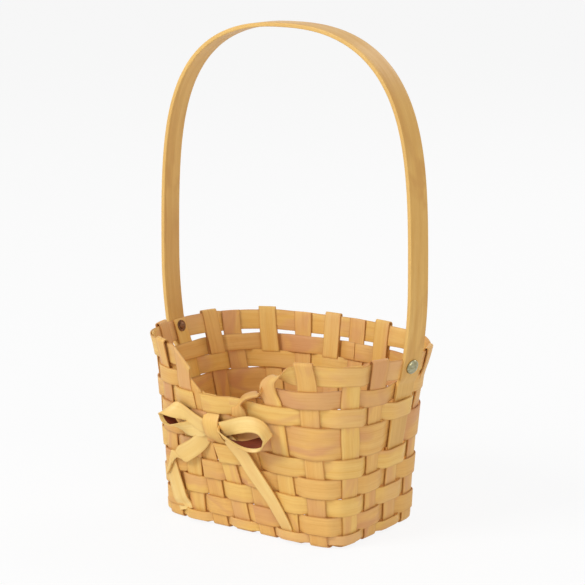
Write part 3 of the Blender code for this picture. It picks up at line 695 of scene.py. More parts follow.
def fold_over(centre, heading_in, heading_out, halves, standoffs):
    """Columns round a slanted fold on the front wall, where the strip turns its back outwards.

    Places are (X, height). The fold's line halves the angle between the two headings.
    """
    line = (heading_in + heading_out).normalized()
    ahead = (heading_in - line * heading_in.dot(line)).normalized()
    side = Vector((heading_in.y, -heading_in.x))
    radius = (standoffs[0] - standoffs[1]) / 2
    wrap = math.pi * radius / 2
    columns = []
    for step in range(FOLD_STEPS + 1):
        turn = math.pi * step / FOLD_STEPS
        half = halves[0] + (halves[1] - halves[0]) * step / FOLD_STEPS
        run = radius * turn - wrap
        offset = radius * math.sin(turn) - wrap
        column = []
        for share in ACROSS_SHARES:
            width = share * half
            length = (run - width * side.dot(ahead)) / heading_in.dot(ahead)
            slant = length * heading_in.dot(line) + width * side.dot(line)
            place = centre + line * slant + ahead * offset
            column.append(on_side("front", place.x, place.y,
                                  standoffs[0] - radius * (1 - math.cos(turn))))
        columns.append(column)
    return columns


def notch_fold_columns(upright, row, direction):
    """An upright's end folded inwards on a slant, so that it runs off sideways as a row."""
    low, high = row_edges(row)
    middle = (low + high) / 2
    begin = upright_standoff(upright, row_edges(row + 1)[1])
    finish = crossing_standoff(upright + direction, row)
    start = low - math.pi * (begin - finish) / 2 - EDGE_MARGIN
    centre = Vector((upright_place(upright, middle), middle))
    columns = [upright_column(upright, start, begin)]
    return columns + fold_over(centre, Vector((0, 1)), Vector((direction, 0)),
                               (UPRIGHT_WIDTH / 2, (high - low) / 2), (begin, finish))


def curl_columns(upright, row, curl):
    """An upright's end that turns over loosely in a curl and runs off to the right as a row.

    Its width swings from level, through the outward direction, to upright, so its back shows.
    """
    low, high = row_edges(row)
    middle = (low + high) / 2
    start = middle - curl["drop"]
    place = upright_place(upright, start)
    begin = upright_standoff(upright, start)
    finish = crossing_standoff(upright + 1, row)
    first, third = CURL_FACINGS
    second = curl["facing"]
    edge = curl["edge_share"]
    columns = []
    for step in range(CURL_STEPS + 1):
        share = step / CURL_STEPS
        turn = math.pi / 2 * share
        half = UPRIGHT_WIDTH / 2 + ((high - low) / 2 - UPRIGHT_WIDTH / 2) * share
        if share < edge:
            width = first.lerp(second, (share / edge) ** CURL_POWER).normalized()
        else:
            swing = max(share - curl["hold_share"], 0) / (1 - curl["hold_share"])
            width = second.lerp(third, swing).normalized()
        across = place + curl["reach"] * (1 - math.cos(turn)) - curl["sway"] * math.sin(2 * turn)
        height = start + curl["drop"] * math.sin(turn)
        standoff = begin + (finish - begin) * share
        columns.append([
            on_side("front", across + width.x * half * side, height + width.y * half * side,
                    standoff + width.z * half * side)
            for side in ACROSS_SHARES
        ])
    return columns


# The loose curls right of the notch, by row: how far each runs to the right, rises and sways
# to the left, the share of its way at which its width points outwards most, the share up to
# which it stays so, and that direction as X, height and outwards
CURLS = {
    2: {"reach": 24.0 * MM, "drop": 19.0 * MM, "sway": 1.6 * MM, "edge_share": 0.34,
        "hold_share": 0.88, "facing": Vector((0.60, 0.12, 0.79))},
    1: {"reach": 20.0 * MM, "drop": 20.0 * MM, "sway": 5.0 * MM, "edge_share": 0.62,
        "hold_share": 0.62, "facing": Vector((0.60, 0.08, 0.80))},
}


def turned_row_columns(upright, row, direction):
    """The stretch of a top row that one turned upright makes, up to the joint at the back."""
    joint = JOINT_UPRIGHT[row]
    height = row_middle(row)
    gap = half_width_share(joint, -direction, JOINT_GAP / 2, height)
    if direction > 0:
        stations = row_stations(row, upright + 1, joint)
        stations = [item for item in stations if item[0] < joint - gap]
        stations.append((joint - gap, crossing_standoff(joint, row)))
    else:
        stations = row_stations(row, joint, upright - 1)
        stations = [item for item in stations if item[0] > joint + gap]
        stations.insert(0, (joint + gap, crossing_standoff(joint, row)))
        low, high = row_edges(row)
        clear = half_width_share(upright, -1, (high - low) / 2, height)
        stations = [item for item in stations if item[0] < upright - clear]
        stations.reverse()
    return [row_column(row, station, standoff, direction) for station, standoff in stations]


# Base

BASE_LOW = SPLINT_THICKNESS / 2
BASE_HIGH = BASE_LOW + SPLINT_THICKNESS + CLEARANCE
BASE_EDGE = (BASE_LOW + BASE_HIGH) / 2
OUTWARD = {
    "front": Vector((0, -1, 0)),
    "back": Vector((0, 1, 0)),
    "right": Vector((1, 0, 0)),
    "left": Vector((-1, 0, 0)),
}
BEND_TURNS = (0, math.pi / 6, math.pi / 3, math.pi / 2)


def bend_columns(upright):
    """The bend from the base up into the wall, listed from the base outwards."""
    foot = upright_column(upright, BASE_EDGE + BEND_RADIUS, 0)
    outward = OUTWARD[UPRIGHTS[upright][0]]
    columns = []
    for turn in BEND_TURNS:
        shift = outward * BEND_RADIUS * (math.sin(turn) - 1)
        lift = Vector((0, 0, -BEND_RADIUS * math.cos(turn)))
        columns.append([point + shift + lift for point in foot])
    return columns


def crossing_columns(upright, places):
    """Columns over the base, passing over and under the splints that cross it."""
    side = UPRIGHTS[upright][0]
    along_y = side in ("front", "back")
    foot = upright_column(upright, BASE_EDGE + BEND_RADIUS, 0)
    across = [point.x if along_y else point.y for point in foot]
    start_high = upright_is_outside(upright, FOOT_ROW)
    reach = UPRIGHT_WIDTH / 2 + EDGE_MARGIN
    direction = 1 if places[-1] > places[0] else -1
    columns = []
    for order, place in enumerate(places):
        height = BASE_HIGH if (order % 2 == 0) == start_high else BASE_LOW
        for edge in (-reach, reach):
            along = place + direction * edge
            if along_y:
                columns.append([Vector((value, along, height)) for value in across])
            else:
                columns.append([Vector((along, value, height)) for value in across])
    return columns


def end_columns(upright):
    """One end of a splint from its base bend to its tip."""
    columns = bend_columns(upright)
    for row, curled in TURNED_RIGHT.items():
        if upright == curled:
            curl = CURLS[row]
            start = row_middle(row) - curl["drop"] - EDGE_MARGIN
            columns += climb_columns(upright, start)[:-1]
            columns += curl_columns(upright, row, curl)
            return columns + turned_row_columns(upright, row, 1)
    for row, folded in TURNED_LEFT.items():
        if upright == folded:
            columns += climb_columns(upright, row_edges(row + 1)[1])[:-1]
            columns += notch_fold_columns(upright, row, -1)
            return columns + turned_row_columns(upright, row, -1)
    if upright == KNOT_UPRIGHT:
        return columns + climb_columns(upright, row_edges(TURNED_ROWS + 1)[1])
    columns += climb_columns(upright, WALL_HEIGHT)
    if upright_is_outside(upright, 1):
        columns += rim_fold_columns(upright)
    return columns


def weave_splints(finishes):
    """The splints that cross the base, each from one tip to the other."""
    sets = (("cross_splint", CROSS_COUNT, "front", "back", LONG_PLACES, 0),
            ("long_splint", LONG_COUNT, "left", "right", CROSS_PLACES, 1))
    for kind, count, near, far, places, first_pale in sets:
        for number in range(count):
            first = UPRIGHTS.index((near, number))
            last = UPRIGHTS.index((far, number))
            columns = list(reversed(end_columns(first)))
            columns += crossing_columns(first, places)
            columns += end_columns(last)
            slot = "splint_pale" if (number + first_pale) % 2 else "splint_warm"
            seed = (number + count) * SEED_STEP
            strip = hand_cut(smoothed(columns), seed, False)
            lay_strip("woven_%s_%d" % (kind, number + 1), strip, finishes[slot],
                      ["%s_%d" % (kind, number + 1)], seed, twisted=kind == "cross_splint")


def weave_rows(finishes):
    """The rows that run all the way round."""
    for row in range(TURNED_ROWS + 1, ROW_COUNT + 1):
        stations = row_stations(row, 0, UPRIGHT_COUNT - 1)
        columns = [row_column(row, station, standoff) for station, standoff in stations]
        slot = "splint_pale" if row % 2 else "splint_warm"
        seed = (row + ROW_COUNT + UPRIGHT_COUNT) * SEED_STEP
        strip = hand_cut(smoothed(columns, closed=True), seed, True)
        lay_strip("woven_row_%d" % row, strip, finishes[slot], ["weaver_row_%d" % row],
                  seed, closed=True)


# Handle

def arch_reach(lean, width, height):
    """Distance from the arch's centre to its curve at an angle from the vertical."""
    low, high = 0, width + height
    for _ in range(ARCH_SEARCH_STEPS):
        reach = (low + high) / 2
        side = (reach * abs(math.sin(lean)) / width) ** HANDLE_SIDE_POWER
        top = (reach * abs(math.cos(lean)) / height) ** HANDLE_TOP_POWER
        if side + top > 1:
            high = reach
        else:
            low = reach
    return reach


def handle_tail(upright):
    """Centre points and thicknesses of the strap's tail, from its tip up to the rim."""
    side = UPRIGHTS[upright][0]
    heights = [HANDLE_TIP_HEIGHT]
    for row in range(HANDLE_UNDER_ROWS[-1], HANDLE_OVER_ROW, -1):
        heights += [row_middle(row), row_edges(row)[1]]
    heights = [height for height in heights if height >= HANDLE_TIP_HEIGHT]
    heights += [row_edges(HANDLE_OVER_ROW)[0] - ROW_GAP, RIVET_HEIGHT, WALL_HEIGHT]
    points = []
    for height in heights:
        standoff = handle_standoff(upright, height)
        place = upright_place(upright, height)
        points.append((on_side(side, place, height, standoff), handle_thickness(height)))
    return points


def bend_handle(finish):
    """The strap: one tail, the arch and the other tail."""
    right = handle_tail(RIGHT_HANDLE_UPRIGHT)
    left = handle_tail(LEFT_HANDLE_UPRIGHT)
    springing = right[-1][0]
    rise = TOTAL_HEIGHT - HANDLE_THICKNESS / 2 - springing.z
    half_span = springing.x + HANDLE_SPREAD
    arch = []
    for step in range(1, HANDLE_ARCH_STEPS):
        lean = math.pi / 2 - math.pi * step / HANDLE_ARCH_STEPS
        reach = arch_reach(lean, half_span, rise)
        height = reach * math.cos(lean)
        blend = max(1 - height / HANDLE_BLEND, 0)
        across = reach * math.sin(lean)
        across -= math.copysign(HANDLE_SPREAD * blend * blend, across)
        arch.append((Vector((across, 0, springing.z + height)), HANDLE_THICKNESS))
    path = right + arch + list(reversed(left))
    columns = []
    for point, _ in path:
        lean = HANDLE_TURN * max(point.x, 0) / springing.x
        lean *= min(max((point.z - HANDLE_TIP_HEIGHT) / (RIVET_HEIGHT - HANDLE_TIP_HEIGHT), 0), 1)
        width = Vector((math.sin(lean), math.cos(lean), 0)) * HANDLE_WIDTH / 2
        columns.append([point + width * share for share in ACROSS_SHARES])
    columns = smoothed(columns)
    weights = [handle_thickness(column[0].z) / HANDLE_THICKNESS for column in columns]
    lay_strip("bent_handle", columns, finish, ["handle"], HANDLE_SEED,
              thickness=HANDLE_THICKNESS, weights=weights, rounding=HANDLE_ROUNDING,
              segments=HANDLE_EDGE_SEGMENTS)


# Rivets

def rivet_frame(upright):
    """Matrix whose +Z is the wall's outward normal at the rivet, at zero standoff."""
    side = UPRIGHTS[upright][0]
    angle = side_angle(side, upright_place(upright, RIVET_HEIGHT), RIVET_HEIGHT)
    normal = wall_normal(angle, RIVET_HEIGHT)
    if upright == RIGHT_HANDLE_UPRIGHT:
        normal.rotate(Matrix.Rotation(-HANDLE_TURN, 3, "Z"))
    turn = normal.to_track_quat("Z", "Y").to_matrix().to_4x4()
    place = wall_point(angle, RIVET_HEIGHT) + Vector((0, DEPTH_CENTRE, 0))
    return Matrix.Translation(place) @ turn


def half_ball(name, radius, height, brim, place):
    """A domed disc: the top half of a ball, flattened, with a short straight brim."""
    bpy.ops.object.select_all(action="DESELECT")
    bpy.ops.mesh.primitive_uv_sphere_add(segments=ROUND_SEGMENTS, ring_count=ROUND_RINGS,
                                         radius=radius)
    ball = bpy.context.object
    ball.name = name
    bpy.ops.object.mode_set(mode="EDIT")
    bpy.ops.mesh.select_all(action="SELECT")
    bpy.ops.mesh.bisect(plane_co=(0, 0, 0), plane_no=(0, 0, 1), clear_inner=True, use_fill=True)
    bpy.ops.mesh.select_all(action="SELECT")
    bpy.ops.transform.resize(value=(1, 1, (height - brim) / radius), center_override=(0, 0, 0))
    bpy.ops.object.mode_set(mode="OBJECT")
    for vertex in ball.data.vertices:
        vertex.co.z += brim
    bpy.ops.object.mode_set(mode="EDIT")
    bpy.ops.mesh.select_all(action="DESELECT")
    bpy.ops.object.mode_set(mode="OBJECT")
    for face in ball.data.polygons:
        face.select = face.normal.z < LOOKS_DOWN
    bpy.ops.object.mode_set(mode="EDIT")
    bpy.ops.mesh.select_mode(type="FACE")
    bpy.ops.mesh.extrude_region_move(TRANSFORM_OT_translate={"value": (0, 0, -brim)})
    bpy.ops.object.mode_set(mode="OBJECT")
    round_edges(ball, SMALL_ROUNDING)
    ball.data.transform(place)
    return ball


def dished_washer(name, place):
    """A round washer with its middle pressed in a little."""
    bpy.ops.object.select_all(action="DESELECT")
    bpy.ops.mesh.primitive_cylinder_add(vertices=ROUND_SEGMENTS, radius=WASHER_RADIUS,
                                        depth=WASHER_THICKNESS)
    washer = bpy.context.object
    washer.name = name
    for face in washer.data.polygons:
        face.select = face.normal.z < LOOKS_DOWN
    bpy.ops.object.mode_set(mode="EDIT")
    bpy.ops.mesh.select_mode(type="FACE")
    bpy.ops.mesh.inset(thickness=WASHER_INSET)
    bpy.ops.transform.translate(value=(0, 0, WASHER_DISH))
    bpy.ops.object.mode_set(mode="OBJECT")
    round_edges(washer, SMALL_ROUNDING)
    washer.data.transform(place)
    return washer


def set_rivets(finish, rusted):
    """Each rivet's domed head outside, and its clinched end on a washer inside."""
    head = handle_standoff(RIGHT_HANDLE_UPRIGHT, RIVET_HEIGHT) + HANDLE_THICKNESS / 2
    washer_top = upright_standoff(RIGHT_HANDLE_UPRIGHT, RIVET_HEIGHT) - SPLINT_THICKNESS / 2
    washer_bottom = washer_top - WASHER_THICKNESS
    for side, upright in (("right", RIGHT_HANDLE_UPRIGHT), ("left", LEFT_HANDLE_UPRIGHT)):
        place = rivet_frame(upright)
        dome = half_ball("rivet_head_%s" % side, RIVET_HEAD_RADIUS, RIVET_HEAD_HEIGHT,
                         RIVET_BRIM_HEIGHT, place @ Matrix.Translation((0, 0, head)))
        finish_piece(dome, finish, ["rivet_%s" % side])
        back = Matrix.Translation((0, 0, washer_bottom)) @ Matrix.Rotation(math.pi, 4, "X")
        clinch = half_ball("rivet_clinch_%s" % side, RIVET_CLINCH_RADIUS, RIVET_CLINCH_HEIGHT,
                           WASHER_DISH, place @ back)
        finish_piece(clinch, rusted, [])
        middle = Matrix.Translation((0, 0, (washer_top + washer_bottom) / 2))
        washer = dished_washer("washer_%s" % side, place @ middle)
        finish_piece(washer, rusted, ["rivet_washer_%s" % side])


# Bow

def loop_column(direction, turn, loop):
    """A loop's column at a turn, from 0 at its upper strand to a full turn at its lower one."""
    middle = row_middle(KNOT_ROW)
    start = upright_place(KNOT_UPRIGHT, middle) + direction * THREAD_START
    out = math.sin(turn / 2) ** 2
    ramp = min(out * loop["reach"] / THREAD_RAMP, 1)
    upper = turn < math.pi
    strand = 0 if upper else 1
    layer, clear = (UPPER_LAYER, 2) if upper else (LOWER_LAYER, 1)
    seat = layer + (TAIL_STANDOFF + clear * LAYER_STEP - layer) * ramp
    flat = loop["flat_shares"][strand]
    turned = max((out - flat) / (1 - flat), 0) ** loop["powers"][strand]
    overturn = loop["overturns"][strand] * math.sin(math.pi * out ** OVERTURN_POWER)
    twist = math.pi / 2 * turned * (1 + overturn)
    face = twist if upper else math.pi - twist
    half = (THREAD_WIDTH + (LOOP_WIDTH - THREAD_WIDTH) * ramp * ramp) / 2
    sway = loop["openings"][strand] * math.sin(turn) * out / TEARDROP_PEAK
    height = middle + sway + loop["rise"] * out * out + THREAD_SHIFT * math.cos(turn / 2)
    across = start + direction * loop["reach"] * out
    standoff = seat + half * math.sin(twist)
    return [on_side("front", across, height + half * share * math.cos(face),
                    standoff - half * share * math.sin(face)) for share in ACROSS_SHARES]


def loop_turns(loop):
    """Turns of a loop's columns, with one where the ribbon has come clear of the rows."""
    clear = 2 * math.asin(math.sqrt(THREAD_RAMP / loop["reach"]))
    steps = LOOP_STEPS // 2
    turns = [0, clear / 2]
    turns += [clear + (math.pi - clear) * step / steps for step in range(steps + 1)]
    return turns + [math.tau - turn for turn in reversed(turns[:-1])]


def tie_loops(finish, back):
    """One ribbon, closed behind the upright, with a loop on each side of it."""
    columns = [loop_column(1, turn, RIGHT_LOOP) for turn in loop_turns(RIGHT_LOOP)]
    columns += [loop_column(-1, turn, LEFT_LOOP) for turn in reversed(loop_turns(LEFT_LOOP))]
    # The ribbon's inner face gets the dark red-brown finish, painted shade as inside the loops,
    # all but a pale lip at one edge
    lay_strip("bow_ribbon_loops", smoothed(columns, closed=True), finish,
              ["bow_loops"], LOOPS_SEED, closed=True, twisted=True, back=back)


def rounded_route(points):
    """The same route with its corners cut, so that the ribbon bends gently."""
    for _ in range(CORNER_CUTS):
        route = [points[0]]
        for first, second in zip(points, points[1:]):
            for share in (CORNER_SHARE, 1 - CORNER_SHARE):
                route.append(tuple(low + (high - low) * share
                                   for low, high in zip(first, second)))
        points = route + [points[-1]]
    return points


def threaded(across, standoff):
    """A tail's standoff, sinking to its layer behind the upright that holds the bow."""
    knot = upright_place(KNOT_UPRIGHT, row_middle(KNOT_ROW))
    away = max(abs(across - knot) - THREAD_START, 0)
    return min(standoff, TAIL_LAYER + (TAIL_STANDOFF - TAIL_LAYER) * away / THREAD_RAMP)


def ribbon_columns(points):
    """Columns square to a route of (X, height, standoff, half width) on the front wall."""
    columns = []
    for number, (across, height, standoff, half) in enumerate(points):
        before = points[max(number - 1, 0)]
        after = points[min(number + 1, len(points) - 1)]
        heading = Vector((after[0] - before[0], after[1] - before[1])).normalized()
        column = []
        for share in ACROSS_SHARES:
            place = across - heading.y * half * share
            column.append(on_side("front", place, height + heading.x * half * share,
                                  threaded(place, standoff)))
        columns.append(column)
    return columns


# Tails, from the knot outwards: X, height, standoff above the rows, and width
RIGHT_TAIL = (
    (6.0 * MM, 66.0 * MM, 1.6 * MM, 12.5 * MM),
    (15.0 * MM, 53.0 * MM, 2.4 * MM, 12.5 * MM),
    (28.0 * MM, 36.0 * MM, 1.6 * MM, 11.0 * MM),
    (38.0 * MM, 18.0 * MM, 0.3 * MM, 9.5 * MM),
)
RIGHT_TAIL_TIP_SHIFT = 3.0 * MM
LEFT_TAIL = (
    (-33.0 * MM, 66.0 * MM, 1.6 * MM, 13.0 * MM),
    (-50.0 * MM, 55.0 * MM, 2.0 * MM, 14.0 * MM),
)
LEFT_TAIL_FOLD = Vector((-67.0 * MM, 44.0 * MM))
LEFT_TAIL_FOLD_WIDTH = 13.5 * MM
LEFT_TAIL_TIP = Vector((-55.0 * MM, 8.0 * MM))
LEFT_TAIL_LIFTS = (2.2 * MM, 0.4 * MM)

# Below its fold the left tail hangs over the rows, and is tucked in under the lowest one
LEFT_TAIL_FREE_SHARES = (0.55, 0.75)
LEFT_TAIL_TUCKED_SHARES = (0.9, 1.0)


def tail_root(direction):
    """Where a tail comes out from behind the upright that holds the bow."""
    middle = row_middle(KNOT_ROW)
    knot = upright_place(KNOT_UPRIGHT, middle)
    low = middle - THREAD_WIDTH * TAIL_ROOT_DROP_SHARE
    places = (knot, knot + direction * UPRIGHT_WIDTH / 2)
    return [(place, low, TAIL_STANDOFF, THREAD_WIDTH / 2 * share)
            for place, share in zip(places, TAIL_ROOT_SHARES)]


def tail_route(direction, tail):
    """Places of (X, height, standoff, half width) from the knot along a tail."""
    return tail_root(direction) + [(across, height, TAIL_STANDOFF + lift, width / 2)
                                   for across, height, lift, width in tail]


def tie_tails(finish):
    """The ribbon's two tails: the right one hangs plain, the left one is folded back."""
    low, high = row_edges(FOOT_ROW)
    tucked = SPLINT_THICKNESS + CLEARANCE - UPRIGHT_SWING
    half = TAIL_END_WIDTH / 2
    tip = upright_place(RIGHT_TAIL_UPRIGHT, high) - RIGHT_TAIL_TIP_SHIFT
    route = tail_route(1, RIGHT_TAIL)
    route += [(tip, high + ROW_GAP, tucked, half), (tip, low, tucked, half)]
    lay_strip("bow_ribbon_right_tail", smoothed(ribbon_columns(rounded_route(route))), finish,
              ["bow_tails"], RIGHT_TAIL_SEED, twisted=True)
    route = tail_route(-1, LEFT_TAIL)
    heading_in = (LEFT_TAIL_FOLD - Vector(route[-1][:2])).normalized()
    heading_out = (LEFT_TAIL_TIP - LEFT_TAIL_FOLD).normalized()
    standoffs = [TAIL_STANDOFF + lift for lift in LEFT_TAIL_LIFTS]
    wide = LEFT_TAIL_FOLD_WIDTH / 2
    columns = ribbon_columns(rounded_route(route))
    columns += fold_over(LEFT_TAIL_FOLD, heading_in, heading_out, (wide, wide), standoffs)
    side = Vector((heading_in.y, -heading_in.x))
    line = (heading_in + heading_out).normalized()
    back = line * 2 * side.dot(line) - side
    length = (LEFT_TAIL_TIP - LEFT_TAIL_FOLD).length
    for share in LEFT_TAIL_FREE_SHARES + LEFT_TAIL_TUCKED_SHARES:
        standoff = standoffs[1] if share in LEFT_TAIL_FREE_SHARES else tucked
        centre = LEFT_TAIL_FOLD + heading_out * length * share
        places = [centre + back * wide * across for across in ACROSS_SHARES]
        columns.append([on_side("front", place.x, place.y, standoff) for place in places])
    lay_strip("bow_ribbon_left_tail", smoothed(columns), finish, [], LEFT_TAIL_SEED,
              twisted=True)


# Materials

def linear(colour):
    """A colour written as sRGB hex, in the linear values that the nodes take: the sRGB curve."""
    values = []
    for start in (1, 3, 5):
        part = int(colour[start:start + 2], 16) / 255
        values.append(part / 12.92 if part <= 0.04045 else ((part + 0.055) / 1.055) ** 2.4)
    return (*values, 1.0)


def set_inputs(tree, node, inputs):
    """Sets a node's inputs to values, or links them to other nodes' outputs."""
    for key, value in inputs.items():
        if isinstance(value, bpy.types.NodeSocket):
            tree.links.new(value, node.inputs[key])
        else:
            node.inputs[key].default_value = value


def add_node(tree, kind, settings=None, inputs=None):
    """A node with its settings and its inputs."""
    node = tree.nodes.new(kind)
    for key, value in (settings or {}).items():
        setattr(node, key, value)
    set_inputs(tree, node, inputs or {})
    return node


def new_material(name):
    """A material with its node tree and its shader."""
    material = bpy.data.materials.new(name)
    material.use_nodes = True
    return material, material.node_tree, material.node_tree.nodes["Principled BSDF"]


# Sockets of the Mix node when it mixes colours
MIX_FACTOR = 0
MIX_A = 6
MIX_B = 7
MIX_RESULT = 2

# Patterns in the wood: size along and across the strip, then the noise's detail and distortion.
# Real fibres are about a fifth of a millimetre across, and are drawn coarser so that they show
GRAIN_PATTERNS = {
    "fibre": (30.0 * MM, 0.8 * MM, 4.0, 0.2),
    "streak": (130.0 * MM, 4.5 * MM, 3.0, 0.6),
    "patch": (70.0 * MM, 24.0 * MM, 2.0, 0.8),
    "tone": (95.0 * MM, 60.0 * MM, 1.0, 0.5),
    "pore": (5.0 * MM, 0.35 * MM, 1.0, 0.0),
}

# The wood's colour, layer on layer: a pattern, the colour that it brings, the values between
# which that colour comes in, and how strong it gets. The last one tints each strip near its long
# edges: darker on the splints and the ribbon, painted shade as in the gaps between strips; paler
# on the strap
WOOD_LAYERS = (
    ("streak", "pale", 0.30, 0.70, 0.80),
    ("patch", "blush", 0.50, 0.66, 0.90),
    ("tone", "deep", 0.50, 0.72, 0.70),
    ("fibre", "fibre", 0.50, 0.76, 0.30),
    ("pore", "fibre", 0.62, 0.80, 0.22),
    ("away", "edge", 0.88, 1.00, 0.60),
)
SHINE_FIBRE_RANGE = (0.3, 0.7)
SHINE_SPREAD = (-0.06, 0.08)
FIBRE_DEPTH = 0.10 * MM
WOOD_IOR = 1.5

# Each finish's edge colour tints the strip near its edges: on the splints and the ribbon it is
# darker, painted shade as in the gaps between strips
# Planed pine splint, straw yellow: fine straight fibres and a dull satin face
PALE_SPLINT = {"name": "planed_pine_splint_pale", "roughness": 0.52, "bump": 0.3,
               "body": "#E6B45B", "pale": "#EEC572", "blush": "#DFA865", "fibre": "#D39845",
               "edge": "#BC8034", "deep": "#DDA973"}
# The same splint cut nearer the heart: pinker and darker in slow patches
WARM_SPLINT = {"name": "planed_pine_splint_warm", "roughness": 0.54, "bump": 0.3,
               "body": "#E1AB5A", "pale": "#E9BA6B", "blush": "#D69B63", "fibre": "#CA8A42",
               "edge": "#B17334", "deep": "#D39C66"}
# Thin ribbon splint: the palest and smoothest of the three
RIBBON_SPLINT = {"name": "thin_ribbon_splint", "roughness": 0.48, "bump": 0.2,
                 "body": "#F0CA78", "pale": "#F6D78E", "blush": "#EBC278", "fibre": "#E2B464",
                 "edge": "#D6A557", "deep": "#E8BE70"}
# The inner face of the ribbon, red-brown and dull: painted shade, as deep inside the loops
PAINTED_SHADE_INNER_FACE = {"name": "ribbon_inner_face_painted_shade", "roughness": 0.85, "bump": 0.2,
                "body": "#702A06", "pale": "#7C320A", "blush": "#662404", "fibre": "#5C2004",
                "edge": "#7C3A12", "deep": "#541E04"}
# Bent strap of ash, sanded: straight grain, browner than the splint, and pale at its edges
ASH_STRAP = {"name": "bent_ash_strap", "roughness": 0.45, "bump": 0.3,
             "body": "#D8A653", "pale": "#E2B566", "blush": "#CF9A4C", "fibre": "#BF883C",
             "edge": "#E6BC6E", "deep": "#CE9A4E"}

# Nickel plate gone yellowish, on the heads outside
AGED_NICKEL = {"name": "aged_nickel_plated_steel", "colours": ("#ACA88B", "#8C8562"),
               "metallic": 1.0, "roughness": 0.17}
# Rust-brown steel where the damp mushrooms lay, on the washers and clinched ends inside
RUSTED_STEEL = {"name": "rusted_steel", "colours": ("#8A5A34", "#5E3A20"),
                "metallic": 0.4, "roughness": 0.5}

# Blotches and pits in the metal: size and detail. Real pits are finer, and wouldn't show
METAL_BLOTCH = (2.4 * MM, 3.0)
METAL_PIT = (0.3 * MM, 2.0)
METAL_PIT_DEPTH = 0.03 * MM
METAL_PIT_STRENGTH = 0.3
METAL_TONE_RANGE = (0.4, 0.65)
METAL_SHINE_RANGE = (0.35, 0.7)
METAL_SHINE_SPREAD = 0.18


def wood_material(wood):
    """Planed wood: long fibres, wider streaks and slow patches, and its own colour near the
    edges, which on the splints and the ribbon is darker: painted shade.
    """
    material, tree, shader = new_material(wood["name"])
    place = add_node(tree, "ShaderNodeUVMap", {"uv_map": "Grain"}).outputs[0]
    patterns = {}
    for pattern, (along, across, detail, distortion) in GRAIN_PATTERNS.items():
        scaled = add_node(tree, "ShaderNodeMapping", {},
                          {"Vector": place, "Scale": (1 / along, 1 / across, 1)})
        noise = add_node(tree, "ShaderNodeTexNoise", {"noise_dimensions": "2D"},
                         {"Vector": scaled.outputs[0], "Scale": 1.0, "Detail": detail,
                          "Distortion": distortion})
        patterns[pattern] = noise.outputs[0]
    # How far across from the middle: this drives the edge colour, painted shade along the
    # splints' and ribbon's edges
    edge = add_node(tree, "ShaderNodeUVMap", {"uv_map": "Edge"})
    share = add_node(tree, "ShaderNodeSeparateXYZ", {}, {"Vector": edge.outputs[0]})
    away = add_node(tree, "ShaderNodeMath", {"operation": "ABSOLUTE"}, {0: share.outputs[0]})
    patterns["away"] = away.outputs[0]
    colour = linear(wood["body"])
    for pattern, tint, low, high, strongest in WOOD_LAYERS:
        strength = add_node(tree, "ShaderNodeMapRange", {},
                            {"Value": patterns[pattern], "From Min": low, "From Max": high,
                             "To Max": strongest})
        layer = add_node(tree, "ShaderNodeMix", {"data_type": "RGBA"},
                         {MIX_FACTOR: strength.outputs[0], MIX_A: colour,
                          MIX_B: linear(wood[tint])})
        colour = layer.outputs[MIX_RESULT]
    low, high = SHINE_FIBRE_RANGE
    smooth, rough = (wood["roughness"] + spread for spread in SHINE_SPREAD)
    shine = add_node(tree, "ShaderNodeMapRange", {},
                     {"Value": patterns["fibre"], "From Min": low, "From Max": high,
                      "To Min": smooth, "To Max": rough})
    relief = add_node(tree, "ShaderNodeMath", {"operation": "ADD"},
                      {0: patterns["fibre"], 1: patterns["streak"]})
    raised = add_node(tree, "ShaderNodeBump", {},
                      {"Strength": wood["bump"], "Distance": FIBRE_DEPTH,
                       "Height": relief.outputs[0]})
    set_inputs(tree, shader, {"Base Color": colour, "Roughness": shine.outputs[0],
                              "Normal": raised.outputs[0], "IOR": WOOD_IOR})
    return material


def metal_material(metal):
    """Metal gone dull with age: blotches, fine pits and an uneven shine."""
    material, tree, shader = new_material(metal["name"])
    place = add_node(tree, "ShaderNodeTexCoord").outputs["Object"]
    blotch, pits = (
        add_node(tree, "ShaderNodeTexNoise", {},
                 {"Vector": place, "Scale": 1 / size, "Detail": detail}).outputs[0]
        for size, detail in (METAL_BLOTCH, METAL_PIT)
    )
    low, high = METAL_TONE_RANGE
    share = add_node(tree, "ShaderNodeMapRange", {},
                     {"Value": blotch, "From Min": low, "From Max": high})
    clean, dark = (linear(colour) for colour in metal["colours"])
    tone = add_node(tree, "ShaderNodeMix", {"data_type": "RGBA"},
                    {MIX_FACTOR: share.outputs[0], MIX_A: clean, MIX_B: dark})
    low, high = METAL_SHINE_RANGE
    shine = add_node(tree, "ShaderNodeMapRange", {},
                     {"Value": blotch, "From Min": low, "From Max": high,
                      "To Min": metal["roughness"],
                      "To Max": metal["roughness"] + METAL_SHINE_SPREAD})
    raised = add_node(tree, "ShaderNodeBump", {},
                      {"Strength": METAL_PIT_STRENGTH, "Distance": METAL_PIT_DEPTH,
                       "Height": pits})
    set_inputs(tree, shader, {"Base Color": tone.outputs[MIX_RESULT],
                              "Metallic": metal["metallic"], "Roughness": shine.outputs[0],
                              "Normal": raised.outputs[0]})
    return material


# Stage, light and camera

FLOOR_SIZE = 40.0
FLOOR_WHITE_SHARE = 0.88
PAPER_COLOUR = "#F2F2F2"
WORLD_COLOUR = "#FFFFFF"
WORLD_STRENGTH = 0.43
WORLD_WHITE_SHARE = 1.0

# Each lamp's name, place, size and power
LAMPS = (
    ("key_lamp", (-0.9, -1.9, 1.7), 1.1, 37.0),
    ("fill_lamp", (2.2, -1.2, 0.9), 1.4, 16.0),
    ("back_lamp", (0.3, 1.9, 1.6), 1.2, 12.0),
)
LAMP_TARGET = Vector((0, 0, 0.12))

